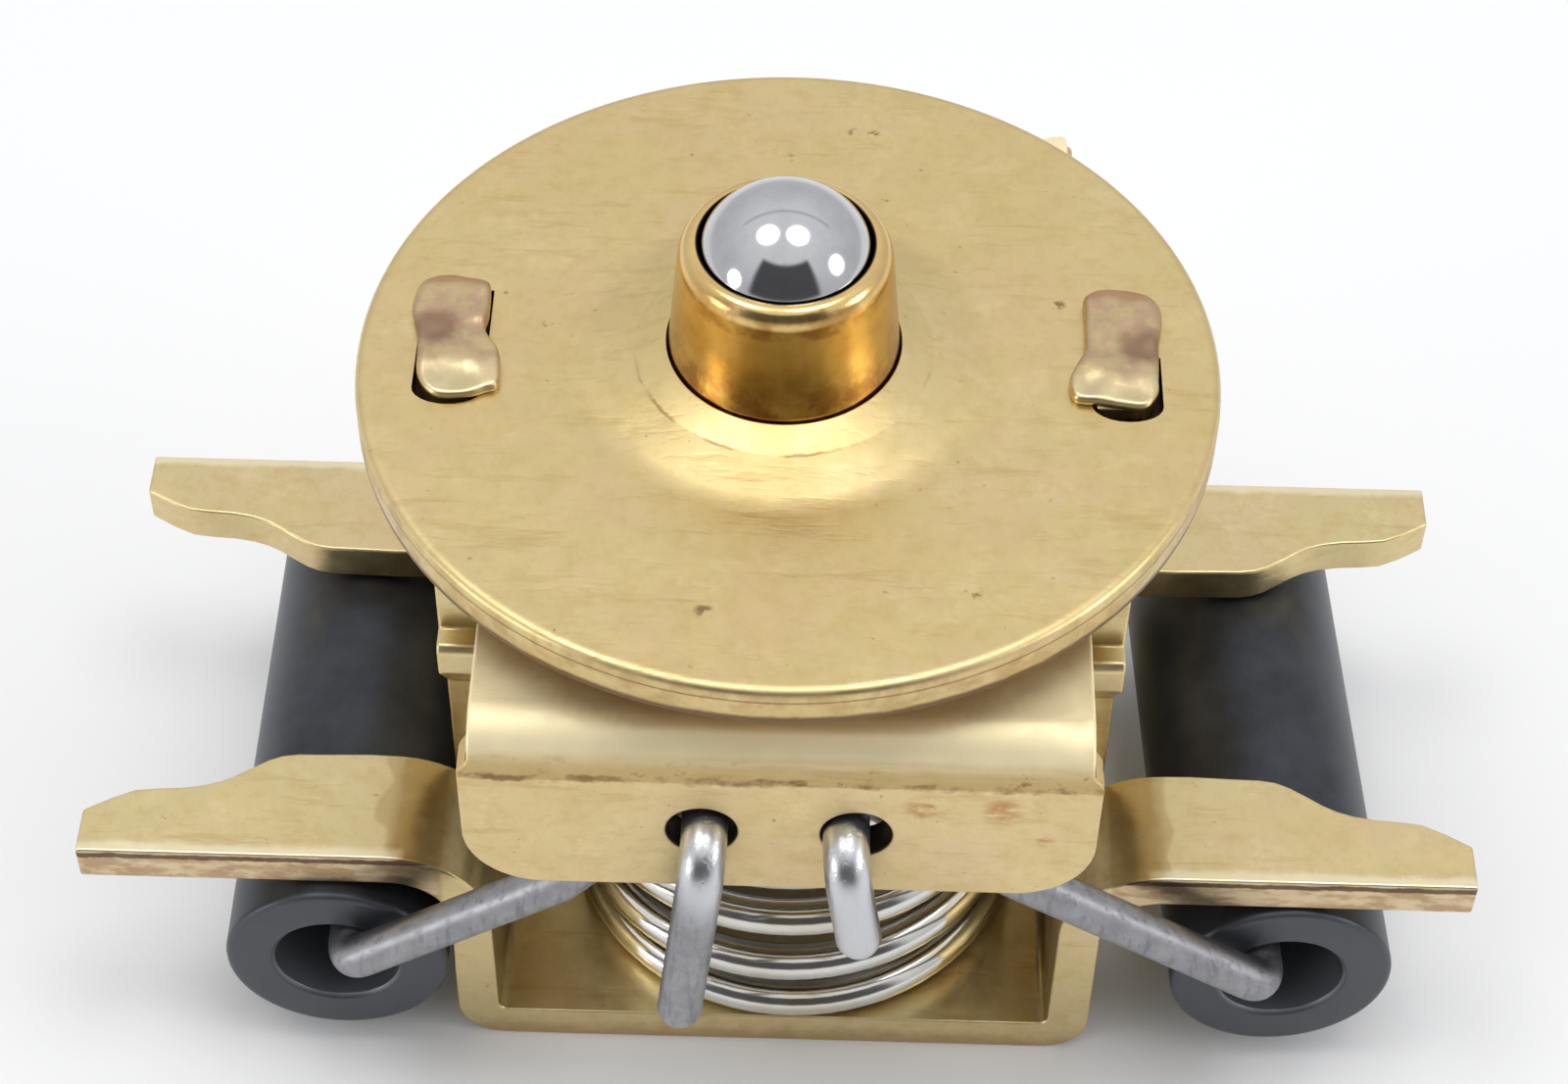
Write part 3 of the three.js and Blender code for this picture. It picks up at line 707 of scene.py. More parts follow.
# ---- Material nodes ----
class Finish:
    """A procedural material. Its coordinates are the piece's own, in millimetres."""

    def __init__(self, name, metallic=1.0):
        self.material = bpy.data.materials.new(name)
        self.material.use_nodes = True
        self.tree = self.material.node_tree
        self.shader = self.tree.nodes["Principled BSDF"]
        self.shader.inputs["Metallic"].default_value = metallic
        coordinates = self.add("ShaderNodeTexCoord")
        scale = self.add("ShaderNodeVectorMath", operation="SCALE")
        self.join(coordinates.outputs["Object"], scale.inputs[0])
        scale.inputs["Scale"].default_value = 1 / MM
        self.place = scale.outputs[0]
        split = self.add("ShaderNodeSeparateXYZ")
        self.join(self.place, split.inputs[0])
        self.x, self.y, self.z = split.outputs

    def add(self, kind, **settings):
        node = self.tree.nodes.new(kind)
        for key, value in settings.items():
            setattr(node, key, value)
        return node

    def join(self, source, target):
        """Links a socket, or sets a plain value."""
        if isinstance(source, bpy.types.NodeSocket):
            self.tree.links.new(source, target)
        else:
            target.default_value = source

    def stretched(self, factors):
        node = self.add("ShaderNodeVectorMath", operation="MULTIPLY")
        self.join(self.place, node.inputs[0])
        node.inputs[1].default_value = factors
        return node.outputs[0]

    def noise(self, scale, detail=4.0, roughness=0.55, distortion=0.0, at=None):
        node = self.add("ShaderNodeTexNoise")
        self.join(at if at is not None else self.place, node.inputs["Vector"])
        node.inputs["Scale"].default_value = scale
        node.inputs["Detail"].default_value = detail
        node.inputs["Roughness"].default_value = roughness
        node.inputs["Distortion"].default_value = distortion
        return node.outputs["Fac"]

    def math(self, operation, a, b=0.0, clamp=False):
        node = self.add("ShaderNodeMath", operation=operation, use_clamp=clamp)
        self.join(a, node.inputs[0])
        self.join(b, node.inputs[1])
        return node.outputs[0]

    def step(self, value, low, high):
        """0 below low and 1 above high, with a smooth rise between; low may be above high."""
        node = self.add("ShaderNodeMapRange", interpolation_type="SMOOTHSTEP", clamp=True)
        self.join(value, node.inputs["Value"])
        if low <= high:
            self.join(low, node.inputs["From Min"])
            self.join(high, node.inputs["From Max"])
        else:
            self.join(high, node.inputs["From Min"])
            self.join(low, node.inputs["From Max"])
            node.inputs["To Min"].default_value = 1.0
            node.inputs["To Max"].default_value = 0.0
        return node.outputs["Result"]

    def blend(self, share, a, b):
        """a where share is 0 and b where it is 1; each is a colour or a socket."""
        node = self.add("ShaderNodeMix", data_type="RGBA")
        self.join(share, node.inputs["Factor"])
        self.paint(a, node.inputs["A"])
        self.paint(b, node.inputs["B"])
        return node.outputs["Result"]

    def tint(self, colour, other, mask, strength):
        """The colour with another laid over it where the mask is 1, at some strength."""
        return self.blend(self.times(mask, strength), colour, other)

    def paint(self, colour, target):
        """Links a socket, or sets a plain colour."""
        if isinstance(colour, bpy.types.NodeSocket):
            self.tree.links.new(colour, target)
        else:
            target.default_value = (*colour, 1.0)

    def amount(self, share, a, b):
        """A number from a to b as share goes from 0 to 1."""
        return self.math("ADD", self.math("MULTIPLY", share, b - a), a)

    def band(self, value, low, high, soft):
        """1 between low and high, fading to 0 over soft on either side."""
        return self.times(self.step(value, low - soft, low), self.step(value, high + soft, high))

    def times(self, a, b):
        return self.math("MULTIPLY", a, b)

    def ragged(self, value, scale, amount):
        """The value shifted by up to half of amount either way, in cloudy patches."""
        shift = self.times(self.math("SUBTRACT", self.noise(scale, 4, 0.65), 0.5), amount)
        return self.math("ADD", value, shift)

    def from_upright(self, x=0.0, y=0.0):
        """Distance from an upright line."""
        node = self.add("ShaderNodeVectorMath", operation="DISTANCE")
        self.join(self.stretched((1.0, 1.0, 0.0)), node.inputs[0])
        node.inputs[1].default_value = (x, y, 0.0)
        return node.outputs["Value"]

    def spot(self, x, y, z, inner, outer):
        """1 within inner of a place and 0 past outer."""
        node = self.add("ShaderNodeVectorMath", operation="DISTANCE")
        self.join(self.place, node.inputs[0])
        node.inputs[1].default_value = (x, y, z)
        return self.step(node.outputs["Value"], outer, inner)

    def bump(self, height, strength, distance=0.02, after=None):
        node = self.add("ShaderNodeBump")
        node.inputs["Strength"].default_value = strength
        node.inputs["Distance"].default_value = distance * MM
        self.join(height, node.inputs["Height"])
        if after is not None:
            self.join(after, node.inputs["Normal"])
        return node.outputs["Normal"]

    def finish(self, colour, roughness, normal=None):
        self.paint(colour, self.shader.inputs["Base Color"])
        self.join(roughness, self.shader.inputs["Roughness"])
        if normal is not None:
            self.join(normal, self.shader.inputs["Normal"])
        return self.material


# ---- Materials ----
BRASS_PALE = (0.73, 0.605, 0.325)
BRASS_GOLD = (0.665, 0.505, 0.225)
BRASS_BROWN = (0.22, 0.11, 0.035)
YOKE_PALE = (0.79, 0.64, 0.34)
YOKE_GOLD = (0.71, 0.53, 0.23)
COPPER = (0.56, 0.37, 0.25)
COPPER_DARK = (0.33, 0.20, 0.13)


def sheet_brass(name, pale, gold, rough, metallic=1.0):
    """Rolled brass that has been handled: cloudy tarnish, rolling streaks, specks and fine marks."""
    m = Finish(name, metallic)
    cloud = m.step(m.noise(0.16, 4, 0.5, 0.3), 0.3, 0.72)
    colour = m.blend(m.times(cloud, 0.45), pale, gold)
    warm = m.step(m.noise(0.30, 4, 0.6), 0.45, 0.65)
    colour = m.tint(colour, (pale[0] * 1.04, pale[1] * 0.95, pale[2] * 1.1), warm, 0.45)
    bloom = m.step(m.noise(0.55, 5, 0.65, 0.4), 0.5, 0.7)
    colour = m.tint(colour, (pale[0] * 1.14, pale[1] * 1.16, pale[2] * 1.3), bloom, 0.45)
    fine = m.step(m.noise(1.1, 5, 0.7), 0.42, 0.7)
    colour = m.tint(colour, (gold[0] * 0.93, gold[1] * 0.90, gold[2] * 0.85), fine, 0.46)
    streaks = m.step(m.noise(0.9, 5, 0.65, at=m.stretched((0.3, 1.8, 1.8))), 0.53, 0.72)
    colour = m.tint(colour, (gold[0] * 0.84, gold[1] * 0.78, gold[2] * 0.72), streaks, 0.46)
    specks = m.times(m.step(m.noise(1.15, 3, 0.7), 0.70, 0.77), 0.6)
    colour = m.blend(specks, colour, BRASS_BROWN)
    pits = m.times(m.step(m.noise(3.2, 2, 0.5), 0.74, 0.79), 0.45)
    colour = m.blend(pits, colour, BRASS_BROWN)
    lines = m.noise(1.0, 3, 0.6, at=m.stretched((0.35, 9.0, 9.0)))
    roughness = m.amount(m.step(m.noise(0.9, 5, 0.65), 0.3, 0.75), rough - 0.05, rough + 0.07)
    roughness = m.math("ADD", roughness, m.times(lines, 0.04))
    normal = m.bump(lines, 0.06, 0.02)
    normal = m.bump(m.noise(0.35, 3, 0.5), 0.14, 0.25, after=normal)
    normal = m.bump(streaks, 0.25, -0.02, after=normal)
    normal = m.bump(m.noise(9.0, 3, 0.6), 0.08, 0.02, after=normal)
    return m, colour, roughness, normal


def rubbed_roots(m, side, colour):
    """A darker rubbed patch on each wing's root, with a scalloped outer edge."""
    wave = m.times(m.noise(0.42, 1.5, 0.4), 2.2)
    patch = m.step(m.math("ADD", side, wave), 15.85, 15.6)
    on_root = m.times(m.step(side, 12.3, 12.5), m.band(m.z, 7.0, WING_TOP + 0.1, 0.5))
    return m.blend(m.times(m.times(patch, on_root), 0.45), colour, (0.42, 0.28, 0.11))


def torn_edges(m, side, colour):
    """The wings' sheared edges: a dark ragged line under the top corner, then a mottled dull band."""
    depth = m.math("ABSOLUTE", m.y)
    face = m.times(m.step(side, 12.4, 12.7), m.step(depth, HALF_DEPTH - 0.07, HALF_DEPTH - 0.02))
    mottled = m.step(m.noise(1.1, 4, 0.65, at=m.stretched((0.6, 1.0, 1.6))), 0.4, 0.6)
    dull = m.blend(mottled, (0.72, 0.57, 0.37), (0.42, 0.26, 0.16))
    colour = m.tint(colour, dull, face, 0.75)
    # Painted highlight: a pale cream strip along the top of each front edge, where the real edge is worn
    # round.
    painted_light_band = m.step(m.ragged(depth, 0.8, 0.5), HALF_DEPTH - 0.6, HALF_DEPTH - 0.25)
    painted_light_band = m.times(painted_light_band, m.step(side, 13.2, 13.8))
    painted_light_band = m.times(painted_light_band, m.step(m.z, WING_TOP - 0.1, WING_TOP - 0.04))
    colour = m.tint(colour, (0.95, 0.84, 0.58), painted_light_band, 0.75)
    line = m.band(m.ragged(m.z, 1.0, 0.3), WING_TOP - 0.38, WING_TOP - 0.16, 0.05)
    return m.blend(m.times(m.times(face, line), 0.85), colour, (0.09, 0.055, 0.03))


def grimy_foot(m, side, colour):
    """Brown grime along the bottom edges of the base."""
    low = m.times(m.step(m.ragged(m.z, 0.7, 1.6), 1.2, 0.2), m.step(side, 12.6, 12.3))
    return m.blend(m.times(low, 0.5), colour, (0.33, 0.19, 0.09))


def staked_copper(m, side, colour):
    """The staked heads: tan with copper streaks, a brown patch to the outer side and a painted highlight
    along the front.
    """
    streaks = m.step(m.noise(1.1, 4, 0.65), 0.42, 0.6)
    copper = m.blend(m.times(streaks, 0.75), (0.62, 0.48, 0.26), COPPER)
    across = m.math("SUBTRACT", side, 12.35)
    along = m.math("SUBTRACT", m.y, 0.55)
    away = m.math("SQRT", m.math("ADD", m.times(across, across), m.times(along, along)))
    copper = m.tint(copper, COPPER_DARK, m.step(m.ragged(away, 1.2, 0.8), 1.2, 0.5), 0.85)
    edge = m.step(m.ragged(m.y, 0.9, 0.8), 2.5, 2.9)
    copper = m.tint(copper, (0.52, 0.28, 0.14), edge, 0.7)
    # Painted highlight: the front of each head is painted a pale cream, in patches.
    front = m.times(m.step(m.ragged(m.y, 1.0, 1.0), -0.7, -1.3), m.amount(m.noise(1.3, 4, 0.6), 1.2, 0.1))
    copper = m.blend(m.math("MULTIPLY", front, 0.8, clamp=True), copper, (0.84, 0.72, 0.42))
    return m.blend(m.step(m.z, CAP_TOP - 0.3, CAP_TOP - 0.1), colour, copper)


def frame_brass():
    m, colour, roughness, normal = sheet_brass("frame_brass", BRASS_PALE, BRASS_GOLD, 0.33)
    side = m.math("ABSOLUTE", m.x)
    colour = grimy_foot(m, side, colour)
    colour = rubbed_roots(m, side, colour)
    colour = torn_edges(m, side, colour)
    colour = staked_copper(m, side, colour)
    return m.finish(colour, roughness, normal)


# Stray brown marks on the cap, as (x, y, radius).
CAP_MARKS = [
    (-2.5, -11.7, 0.45), (2.2, 11.8, 0.35), (2.9, 11.8, 0.3), (-0.2, 10.3, 0.3), (5.4, 2.0, 0.4),
    (4.2, 0.1, 0.3), (9.5, 2.9, 0.35), (-8.5, 1.3, 0.25), (6.3, -10.6, 0.4),
]


def cap_brass():
    m, colour, roughness, normal = sheet_brass("cap_brass", (0.73, 0.585, 0.29), (0.685, 0.52, 0.215), 0.36)
    reach = m.from_upright()
    for x, y, size in CAP_MARKS:
        mark = m.times(m.spot(x, y, CAP_TOP, size * 0.3, size), m.step(m.noise(2.4, 4, 0.7), 0.45, 0.6))
        colour = m.tint(colour, BRASS_BROWN, mark, 0.8)
    rim = m.step(reach, CAP_RADIUS - 0.08, CAP_RADIUS - 0.03)
    stained = m.amount(m.step(m.noise(0.8, 4, 0.65), 0.42, 0.62), 0.10, 0.42)
    colour = m.blend(m.times(rim, stained), colour, (0.34, 0.20, 0.08))
    line = m.band(m.ragged(m.z, 0.9, 0.06), CAP_TOP - 0.52, CAP_TOP - 0.46, 0.03)
    colour = m.tint(colour, BRASS_BROWN, m.times(rim, line), 0.6)
    # Painted shade: a dark brown line along the lower edge of the rim.
    foot = m.step(m.ragged(m.z, 0.8, 0.3), CAP_BOTTOM + 0.48, CAP_BOTTOM + 0.28)
    foot = m.times(foot, m.step(reach, 14.6, 14.8))
    colour = m.tint(colour, (0.11, 0.05, 0.025), foot, 0.85)
    crease = m.band(m.ragged(m.from_upright(BALL_X), 1.5, 0.2), RING_RADIUS - 0.03, RING_RADIUS + 0.03, 0.05)
    broken = m.times(m.step(m.noise(0.6, 3, 0.6), 0.42, 0.6), m.step(m.y, 0.0, -3.0))
    colour = m.tint(colour, BRASS_BROWN, m.times(crease, broken), 0.6)
    # Painted shade: the slot's walls and the floor of its shallow recess are painted near-black.
    slot_shade = m.times(m.band(m.math("ABSOLUTE", m.x), 10.35, 13.05, 0.03), m.band(m.y, -2.9, 3.0, 0.03))
    slot_shade = m.times(slot_shade, m.step(m.z, CAP_TOP - 0.04, CAP_TOP - 0.12))
    colour = m.blend(slot_shade, colour, (0.035, 0.02, 0.012))
    return m.finish(colour, roughness, normal)


def yoke_brass():
    m, colour, roughness, normal = sheet_brass("yoke_brass", YOKE_PALE, YOKE_GOLD, 0.47, 0.72)
    bend_end = YOKE_TOP - YOKE_BEND
    # Painted light: the flat top and the top of the bend are painted pale cream and made less metallic, so
    # they look brighter than the lamps leave them.
    top = m.step(m.z, bend_end + 0.5, bend_end + 1.2)
    colour = m.tint(colour, (1.0, 0.87, 0.55), top, 0.85)
    m.join(m.amount(top, 0.72, 0.40), m.shader.inputs["Metallic"])
    # Painted shade with real tarnish: a brown band over the lower end of the bend, flecked with dirt.
    painted_light_band = m.times(m.step(m.z, bend_end + 1.1, bend_end + 0.2), m.step(m.z, bend_end - 0.1, bend_end))
    colour = m.tint(colour, (0.47, 0.31, 0.11), painted_light_band, 0.6)
    flecks = m.times(m.step(m.noise(1.5, 4, 0.7, at=m.stretched((0.6, 1.0, 1.0))), 0.58, 0.70), painted_light_band)
    colour = m.tint(colour, BRASS_BROWN, flecks, 0.8)
    # Painted shade with grime: brown on the flat top where it lies under the cap.
    reach = m.ragged(m.from_upright(), 0.7, 1.2)
    shade_and_grime_under_cap = m.step(reach, CAP_RADIUS + 0.1, CAP_RADIUS - 1.6)
    shade_and_grime_under_cap = m.times(shade_and_grime_under_cap, m.step(m.z, YOKE_TOP - 0.3, YOKE_TOP - 0.1))
    colour = m.tint(colour, (0.36, 0.19, 0.06), shade_and_grime_under_cap, 0.6)
    line = m.band(m.ragged(m.z, 1.2, 0.7), bend_end - 0.06, bend_end + 0.12, 0.14)
    broken = m.step(m.noise(0.8, 4, 0.6), 0.38, 0.62)
    colour = m.tint(colour, BRASS_BROWN, m.times(line, broken), 0.8)
    smudges = m.math("MAXIMUM", m.spot(5.0, -14.5, 21.5, 0.2, 1.0), m.spot(7.6, -14.5, 21.5, 0.2, 1.0))
    smudges = m.math("MAXIMUM", smudges, m.spot(9.1, -14.5, 19.9, 0.1, 0.5))
    blotched = m.times(smudges, m.step(m.noise(1.2, 4, 0.65, at=m.stretched((0.5, 1.0, 1.6))), 0.42, 0.6))
    colour = m.tint(colour, (0.52, 0.24, 0.07), blotched, 0.8)
    # Painted shade: the link holes' walls are painted near-black.
    colour = m.blend(link_hole_shade(m), colour, (0.04, 0.03, 0.02))
    return m.finish(colour, roughness, normal)


def link_hole_shade(m):
    """1 on the walls of the yoke's link holes, which the yoke's finish paints near-black as painted shade.
    """
    mask = 0.0
    for x in LINK_HOLES_X:
        node = m.add("ShaderNodeVectorMath", operation="DISTANCE")
        m.join(m.stretched((1.0, 0.0, 1.0)), node.inputs[0])
        node.inputs[1].default_value = (x, 0.0, PIVOT_Z)
        hole = m.step(node.outputs["Value"], LINK_HOLE + 0.09, LINK_HOLE + 0.03)
        mask = m.math("MAXIMUM", hole, mask)
    return mask


def sleeve_brass():
    m = Finish("sleeve_brass")
    rings = m.noise(1.0, 3, 0.6, at=m.stretched((0.15, 0.15, 7.0)))
    colour = m.blend(m.step(m.noise(0.5, 4, 0.6), 0.3, 0.75), (0.80, 0.55, 0.20), (0.62, 0.36, 0.09))
    low = m.times(m.step(m.z, SLEEVE_TOP - 1.6, CAP_TOP + 1.0), m.step(m.noise(0.9, 4, 0.65), 0.35, 0.65))
    colour = m.tint(colour, (0.34, 0.15, 0.045), low, 0.85)
    shoulder = m.step(m.z, SLEEVE_TOP - 0.7, SLEEVE_TOP - 0.15)
    colour = m.tint(colour, (0.88, 0.68, 0.36), shoulder, 0.35)
    # Painted shade: a brown band across the front of the shoulder, broken into patches.
    painted_light_band = m.band(m.ragged(m.z, 1.1, 0.9), SLEEVE_TOP - 1.0, SLEEVE_TOP - 0.25, 0.2)
    painted_light_band = m.times(m.times(painted_light_band, m.step(m.y, -1.5, -3.0)), m.step(m.noise(1.0, 4, 0.6), 0.35, 0.6))
    colour = m.tint(colour, (0.40, 0.20, 0.06), painted_light_band, 0.7)
    # Painted shade: the inner edge of the mouth round the ball is painted near-black, widening the dark gap.
    inside = m.step(m.from_upright(BALL_X), SLEEVE_MOUTH + 0.09, SLEEVE_MOUTH + 0.03)
    colour = m.blend(inside, colour, (0.03, 0.02, 0.015))
    roughness = m.amount(rings, 0.14, 0.26)
    normal = m.bump(m.noise(1.6, 4, 0.65), 0.10, 0.05, after=m.bump(rings, 0.08, 0.02))
    return m.finish(colour, roughness, normal)


def ball_steel():
    m = Finish("ball_steel")
    haze = m.noise(1.2, 5, 0.6)
    colour = m.blend(m.step(haze, 0.4, 0.7), (0.60, 0.60, 0.61), (0.55, 0.55, 0.57))
    roughness = m.amount(haze, 0.05, 0.13)
    normal = m.bump(m.noise(14.0, 4, 0.7), 0.03, 0.01)
    return m.finish(colour, roughness, normal)


def turned_steel():
    m = Finish("turned_steel")
    rings = m.noise(1.0, 3, 0.6, at=m.stretched((0.3, 0.3, 9.0)))
    colour = m.blend(m.noise(0.6, 4, 0.6), (0.50, 0.50, 0.50), (0.34, 0.34, 0.33))
    return m.finish(colour, m.amount(rings, 0.3, 0.5), m.bump(rings, 0.15, 0.02))


def link_wire():
    m = Finish("link_wire")
    grain = m.noise(1.4, 5, 0.65)
    colour = m.blend(m.step(grain, 0.25, 0.75), (0.36, 0.36, 0.375), (0.28, 0.28, 0.295))
    drawn = m.step(m.noise(1.0, 4, 0.65, at=m.stretched((3.0, 3.0, 0.5))), 0.5, 0.66)
    colour = m.tint(colour, (0.17, 0.17, 0.18), drawn, 0.55)
    # Painted highlight: the bent-down front ends are painted a lighter grey, reaching lower on the right,
    # and are made smoother there.
    level = m.math("ADD", m.z, m.x)
    painted_highlight = m.times(m.step(m.y, -13.5, -15.2), m.step(level, 14.0, 17.0))
    colour = m.tint(colour, (0.66, 0.67, 0.69), painted_highlight, 0.8)
    roughness = m.math("SUBTRACT", m.amount(grain, 0.36, 0.48), m.times(painted_highlight, 0.12))
    normal = m.bump(drawn, 0.3, -0.02, after=m.bump(grain, 0.12, 0.04))
    return m.finish(colour, roughness, normal)


def spring_wire():
    m = Finish("spring_wire")
    film = m.noise(0.35, 3, 0.5)
    colour = m.blend(m.step(film, 0.4, 0.65), (0.72, 0.71, 0.68), (0.64, 0.60, 0.50))
    roughness = m.amount(m.noise(1.5, 4, 0.6), 0.08, 0.2)
    return m.finish(colour, roughness, m.bump(m.noise(3.0, 4, 0.6), 0.06, 0.02))


def on_end(m, place):
    """1 on a weight's end faces."""
    across = m.math("SUBTRACT", m.times(m.x, place["side"]), weight_middle(place))
    along = m.math("ADD", m.y, m.times(across, weight_slope(place)))
    along = m.math("SUBTRACT", along, place["slide"])
    from_end = m.math("SUBTRACT", m.math("ABSOLUTE", along), WEIGHT_HALF_LENGTH)
    return m.times(m.step(from_end, -0.2, -0.05), m.step(across, -5.0, -4.9))


def in_bore(m, place):
    """1 inside a weight's bore, which is painted a lighter grey."""
    axis = m.math("ADD", m.times(m.y, weight_slope(place)), weight_middle(place))
    across = m.math("SUBTRACT", m.times(m.x, place["side"]), axis)
    above = m.math("SUBTRACT", m.z, WEIGHT_Z)
    away = m.math("SQRT", m.math("ADD", m.times(across, across), m.times(above, above)))
    return m.step(away, WEIGHT_BORE + 0.14, WEIGHT_BORE + 0.02)


def weight_oxide():
    m = Finish("weight_oxide", 0.6)
    cloud = m.noise(0.3, 5, 0.6)
    colour = m.blend(m.step(cloud, 0.3, 0.7), (0.032, 0.035, 0.042), (0.056, 0.061, 0.074))
    scratches = m.step(m.noise(1.8, 4, 0.7), 0.72, 0.82)
    colour = m.tint(colour, (0.25, 0.25, 0.28), scratches, 0.3)
    for place in (LEFT, RIGHT):
        colour = m.tint(colour, (0.10, 0.107, 0.118), on_end(m, place), 0.6)
        colour = m.blend(in_bore(m, place), colour, (0.17, 0.18, 0.20))
    return m.finish(colour, m.amount(cloud, 0.32, 0.46), m.bump(m.noise(4.0, 4, 0.6), 0.10, 0.03))


# ---- Putting the pieces on their bodies ----
def place(pieces, node, body, material, slot):
    """Stands the pieces in for a CAD node, on its body, in a material."""
    for piece in pieces:
        piece.data.materials.clear()
        piece.data.materials.append(material)
        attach(piece, body)
        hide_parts(node)


def build_object():
    frame_finish = frame_brass()
    wire = link_wire()
    oxide = weight_oxide()
    steel = turned_steel()
    place(build_frame(), "frame", "frame", frame_finish, "frame_brass")
    place([build_cap()], "cap_disc", "frame", cap_brass(), "cap_brass")
    place([build_sleeve()], "ball_sleeve", "frame", sleeve_brass(), "sleeve_brass")
    place([build_ball()], "ball", "ball", ball_steel(), "ball_steel")
    place([build_plunger()], "plunger", "yoke", steel, "turned_steel")
    place([build_yoke()], "yoke", "yoke", yoke_brass(), "frame_brass")
    place([build_hub()], "drive_hub", "frame", steel, "turned_steel")
    for side in (LEFT, RIGHT):
        name = side["name"]
        place([build_link(side)], f"{name}_link", f"{name}_link", wire, "link_wire")
        place([build_weight(side)], f"{name}_weight", f"{name}_weight", oxide, "weight_oxide")
    spring = build_spring()
    place([spring], "spring", "frame", spring_wire(), "spring_wire")
    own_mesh(spring)


# ---- Stage, light and camera ----
CAMERA_AZIMUTH = 0.481      # degrees round from the front
CAMERA_ELEVATION = 48.587
CAMERA_ROLL = 1.175
CAMERA_DISTANCE = 114.03    # millimetres from the point it looks at
CAMERA_AIM = (-0.159, -6.318)   # across and up from the middle of the cap's top edge
AIM_HEIGHT = 27.9
CAMERA_LENS = 74.97
CAMERA_SENSOR = 36.0
FLOOR_WHITE = (0.88, 0.88, 0.88)


def build_camera():
    azimuth = math.radians(CAMERA_AZIMUTH)
    elevation = math.radians(CAMERA_ELEVATION)
    roll = math.radians(CAMERA_ROLL)
    back = Vector((
        math.sin(azimuth) * math.cos(elevation),
        -math.cos(azimuth) * math.cos(elevation),
        math.sin(elevation),
    ))
    level = Vector((math.cos(azimuth), math.sin(azimuth), 0))
    up = back.cross(level)
    right = level * math.cos(roll) + up * math.sin(roll)
    up = up * math.cos(roll) - level * math.sin(roll)
    centre = Vector((0, 0, AIM_HEIGHT)) + right * CAMERA_AIM[0] + up * CAMERA_AIM[1]
    centre += back * CAMERA_DISTANCE
    camera = bpy.data.objects.new("camera", bpy.data.cameras.new("camera"))
    camera.data.lens = CAMERA_LENS
    camera.data.sensor_width = CAMERA_SENSOR
    camera.data.clip_start = 0.01
    turn = Matrix((right, up, back)).transposed().to_4x4()
    camera.matrix_world = Matrix.Translation(centre * MM) @ turn
    bpy.context.scene.collection.objects.link(camera)
    bpy.context.scene.camera = camera


def build_floor():
    half = 1.5
    corners = [(-half, -half, 0), (half, -half, 0), (half, half, 0), (-half, half, 0)]
    mesh = bpy.data.meshes.new("floor")
    mesh.from_pydata(corners, [], [(0, 1, 2, 3)])
    floor = bpy.data.objects.new("floor", mesh)
    bpy.context.scene.collection.objects.link(floor)
    m = Finish("floor_white", 0.0)
    floor.data.materials.append(m.finish(FLOOR_WHITE, 0.6))


def lamp(name, direction, distance, diameter, radiance):
    """A round soft light in a direction from the object, facing it."""
    light = bpy.data.lights.new(name, "AREA")
    light.shape = "DISK"
    light.size = diameter
    light.energy = radiance * math.pi * math.pi * (diameter / 2) ** 2
    obj = bpy.data.objects.new(name, light)
    towards = Vector(direction).normalized()
    obj.location = towards * distance + Vector((0, 0, 0.025))
    obj.rotation_euler = (-towards).to_track_quat("-Z", "Y").to_euler()
    bpy.context.scene.collection.objects.link(obj)


TENT_LOW = 0.70             # brightness of the light tent's walls near the floor
TENT_HIGH = 0.92            # and of its roof
OPENING_LIGHT = 0.10        # brightness through its front opening
OPENING_HALF_WIDTH = 43     # degrees to each side of the front
OPENING_BOTTOM = 4          # degrees above level
OPENING_TOP = 49
SEAM_SHADE = 0.35           # how much darker the seam over the tent's roof is
TENT_RISE = (5, 60)         # heights in degrees between which its walls brighten


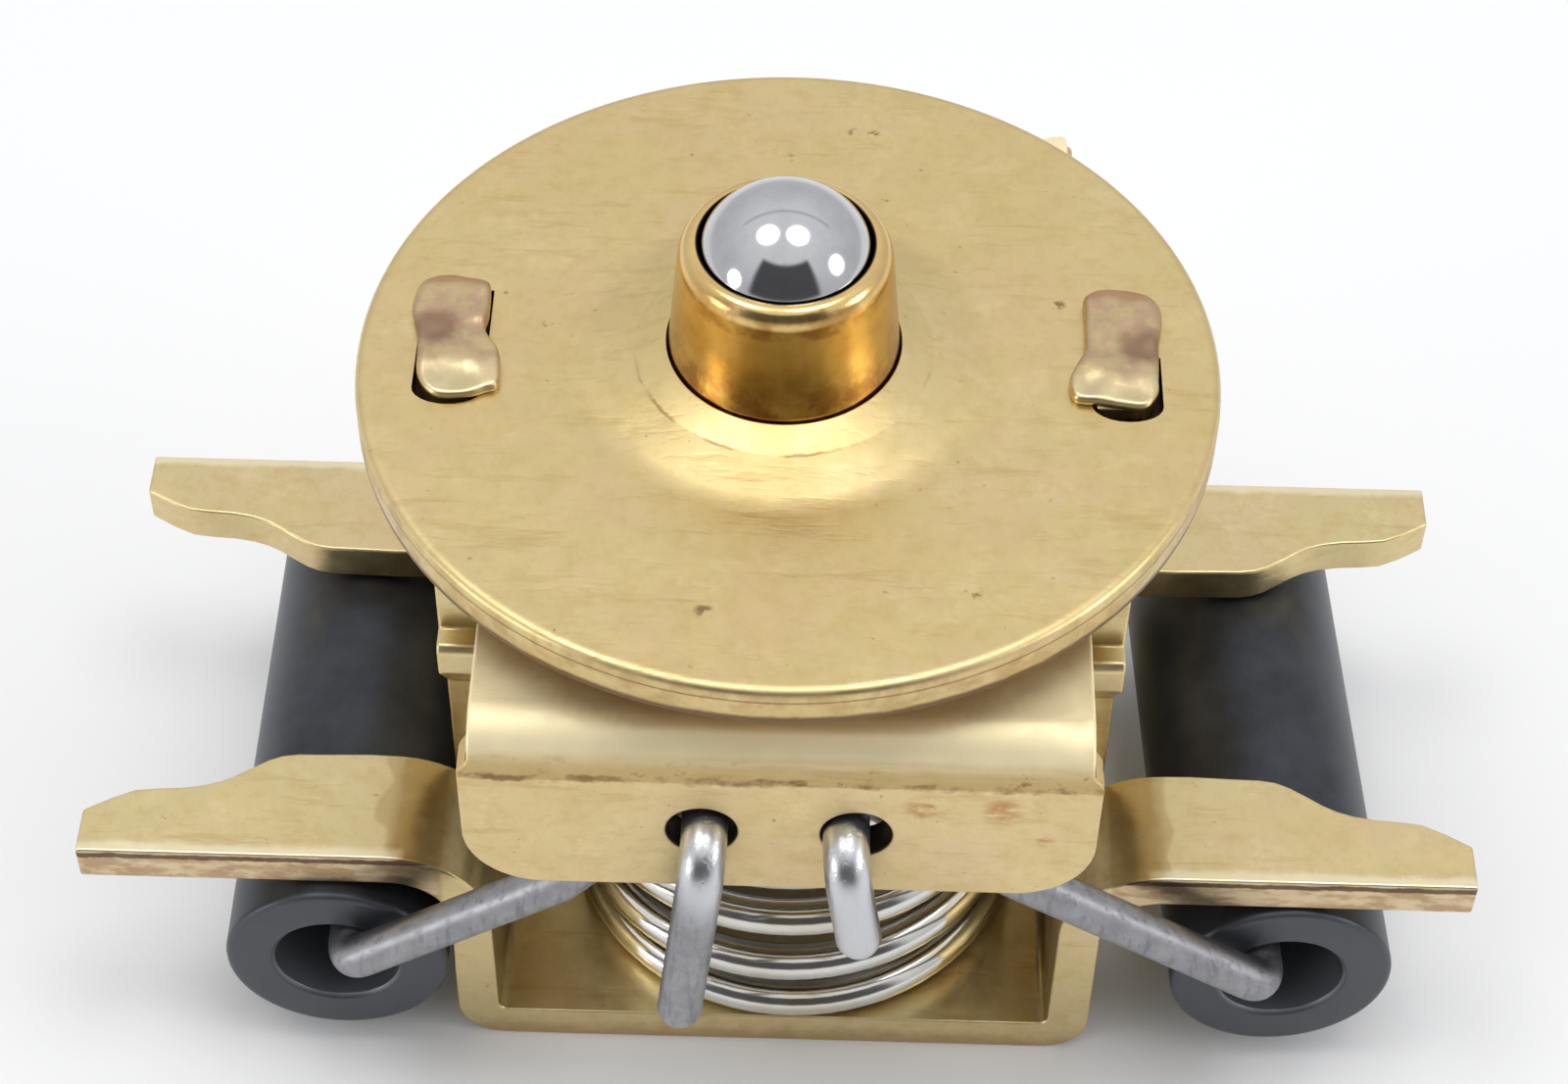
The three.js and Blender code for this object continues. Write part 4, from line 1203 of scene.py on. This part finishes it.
def build_tent():
    """The sky: a pale tent with a dark opening at the front, fixed in the scene."""
    world = bpy.data.worlds.new("studio")
    bpy.context.scene.world = world
    world.use_nodes = True
    tree = world.node_tree

    def math_node(operation, a, b=0.0):
        node = tree.nodes.new("ShaderNodeMath")
        node.operation = operation
        for socket, value in zip(node.inputs, (a, b)):
            if isinstance(value, bpy.types.NodeSocket):
                tree.links.new(value, socket)
            else:
                socket.default_value = value
        return node.outputs[0]

    def soft_step(value, low, high):
        node = tree.nodes.new("ShaderNodeMapRange")
        node.interpolation_type = "SMOOTHSTEP"
        tree.links.new(value, node.inputs["Value"])
        node.inputs["From Min"].default_value = low
        node.inputs["From Max"].default_value = high
        return node.outputs["Result"]

    direction = tree.nodes.new("ShaderNodeTexCoord").outputs["Generated"]
    split = tree.nodes.new("ShaderNodeSeparateXYZ")
    tree.links.new(direction, split.inputs[0])
    x, y, z = split.outputs
    sideways = math_node("ARCTAN2", math_node("ABSOLUTE", x), math_node("MULTIPLY", y, -1.0))
    sideways = math_node("DEGREES", sideways)
    height = math_node("DEGREES", math_node("ARCSINE", z))
    outside = soft_step(sideways, OPENING_HALF_WIDTH - 4, OPENING_HALF_WIDTH + 4)
    inside = math_node("SUBTRACT", 1.0, outside)
    inside = math_node("MULTIPLY", inside, soft_step(height, OPENING_BOTTOM - 3, OPENING_BOTTOM + 3))
    below = math_node("SUBTRACT", 1.0, soft_step(height, OPENING_TOP - 3, OPENING_TOP + 3))
    inside = math_node("MULTIPLY", inside, below)
    roof = math_node("MULTIPLY", soft_step(height, *TENT_RISE), TENT_HIGH - TENT_LOW)
    tent = math_node("ADD", roof, TENT_LOW)
    # The seam is where a plane tilted by 30 degrees meets the tent.
    seam = math_node("ADD", math_node("MULTIPLY", y, 0.866), math_node("MULTIPLY", z, -0.5))
    seam = math_node("SUBTRACT", 1.0, soft_step(math_node("ABSOLUTE", seam), 0.008, 0.05))
    seam = math_node("MULTIPLY", seam, soft_step(height, 36, 42))
    tent = math_node("MULTIPLY", tent, math_node("SUBTRACT", 1.0, math_node("MULTIPLY", seam, SEAM_SHADE)))
    drop = math_node("MULTIPLY", inside, math_node("SUBTRACT", OPENING_LIGHT, tent))
    background = tree.nodes["Background"]
    background.inputs["Color"].default_value = (0.97, 0.98, 1.0, 1)
    tree.links.new(math_node("ADD", drop, tent), background.inputs["Strength"])


def build_light():
    build_tent()
    lamp("overhead_left", (-0.343, -0.023, 0.938), 0.5, 0.22, 4.0)
    lamp("overhead_right", (0.232, -0.043, 0.970), 0.5, 0.22, 4.0)
    lamp("side_left", (-0.895, -0.415, 0.165), 0.5, 0.16, 5.0)
    lamp("side_right", (0.902, -0.215, 0.371), 0.5, 0.18, 5.0)


bpy.context.scene.view_settings.view_transform = "Standard"
build_object()
build_camera()
build_floor()
build_light()
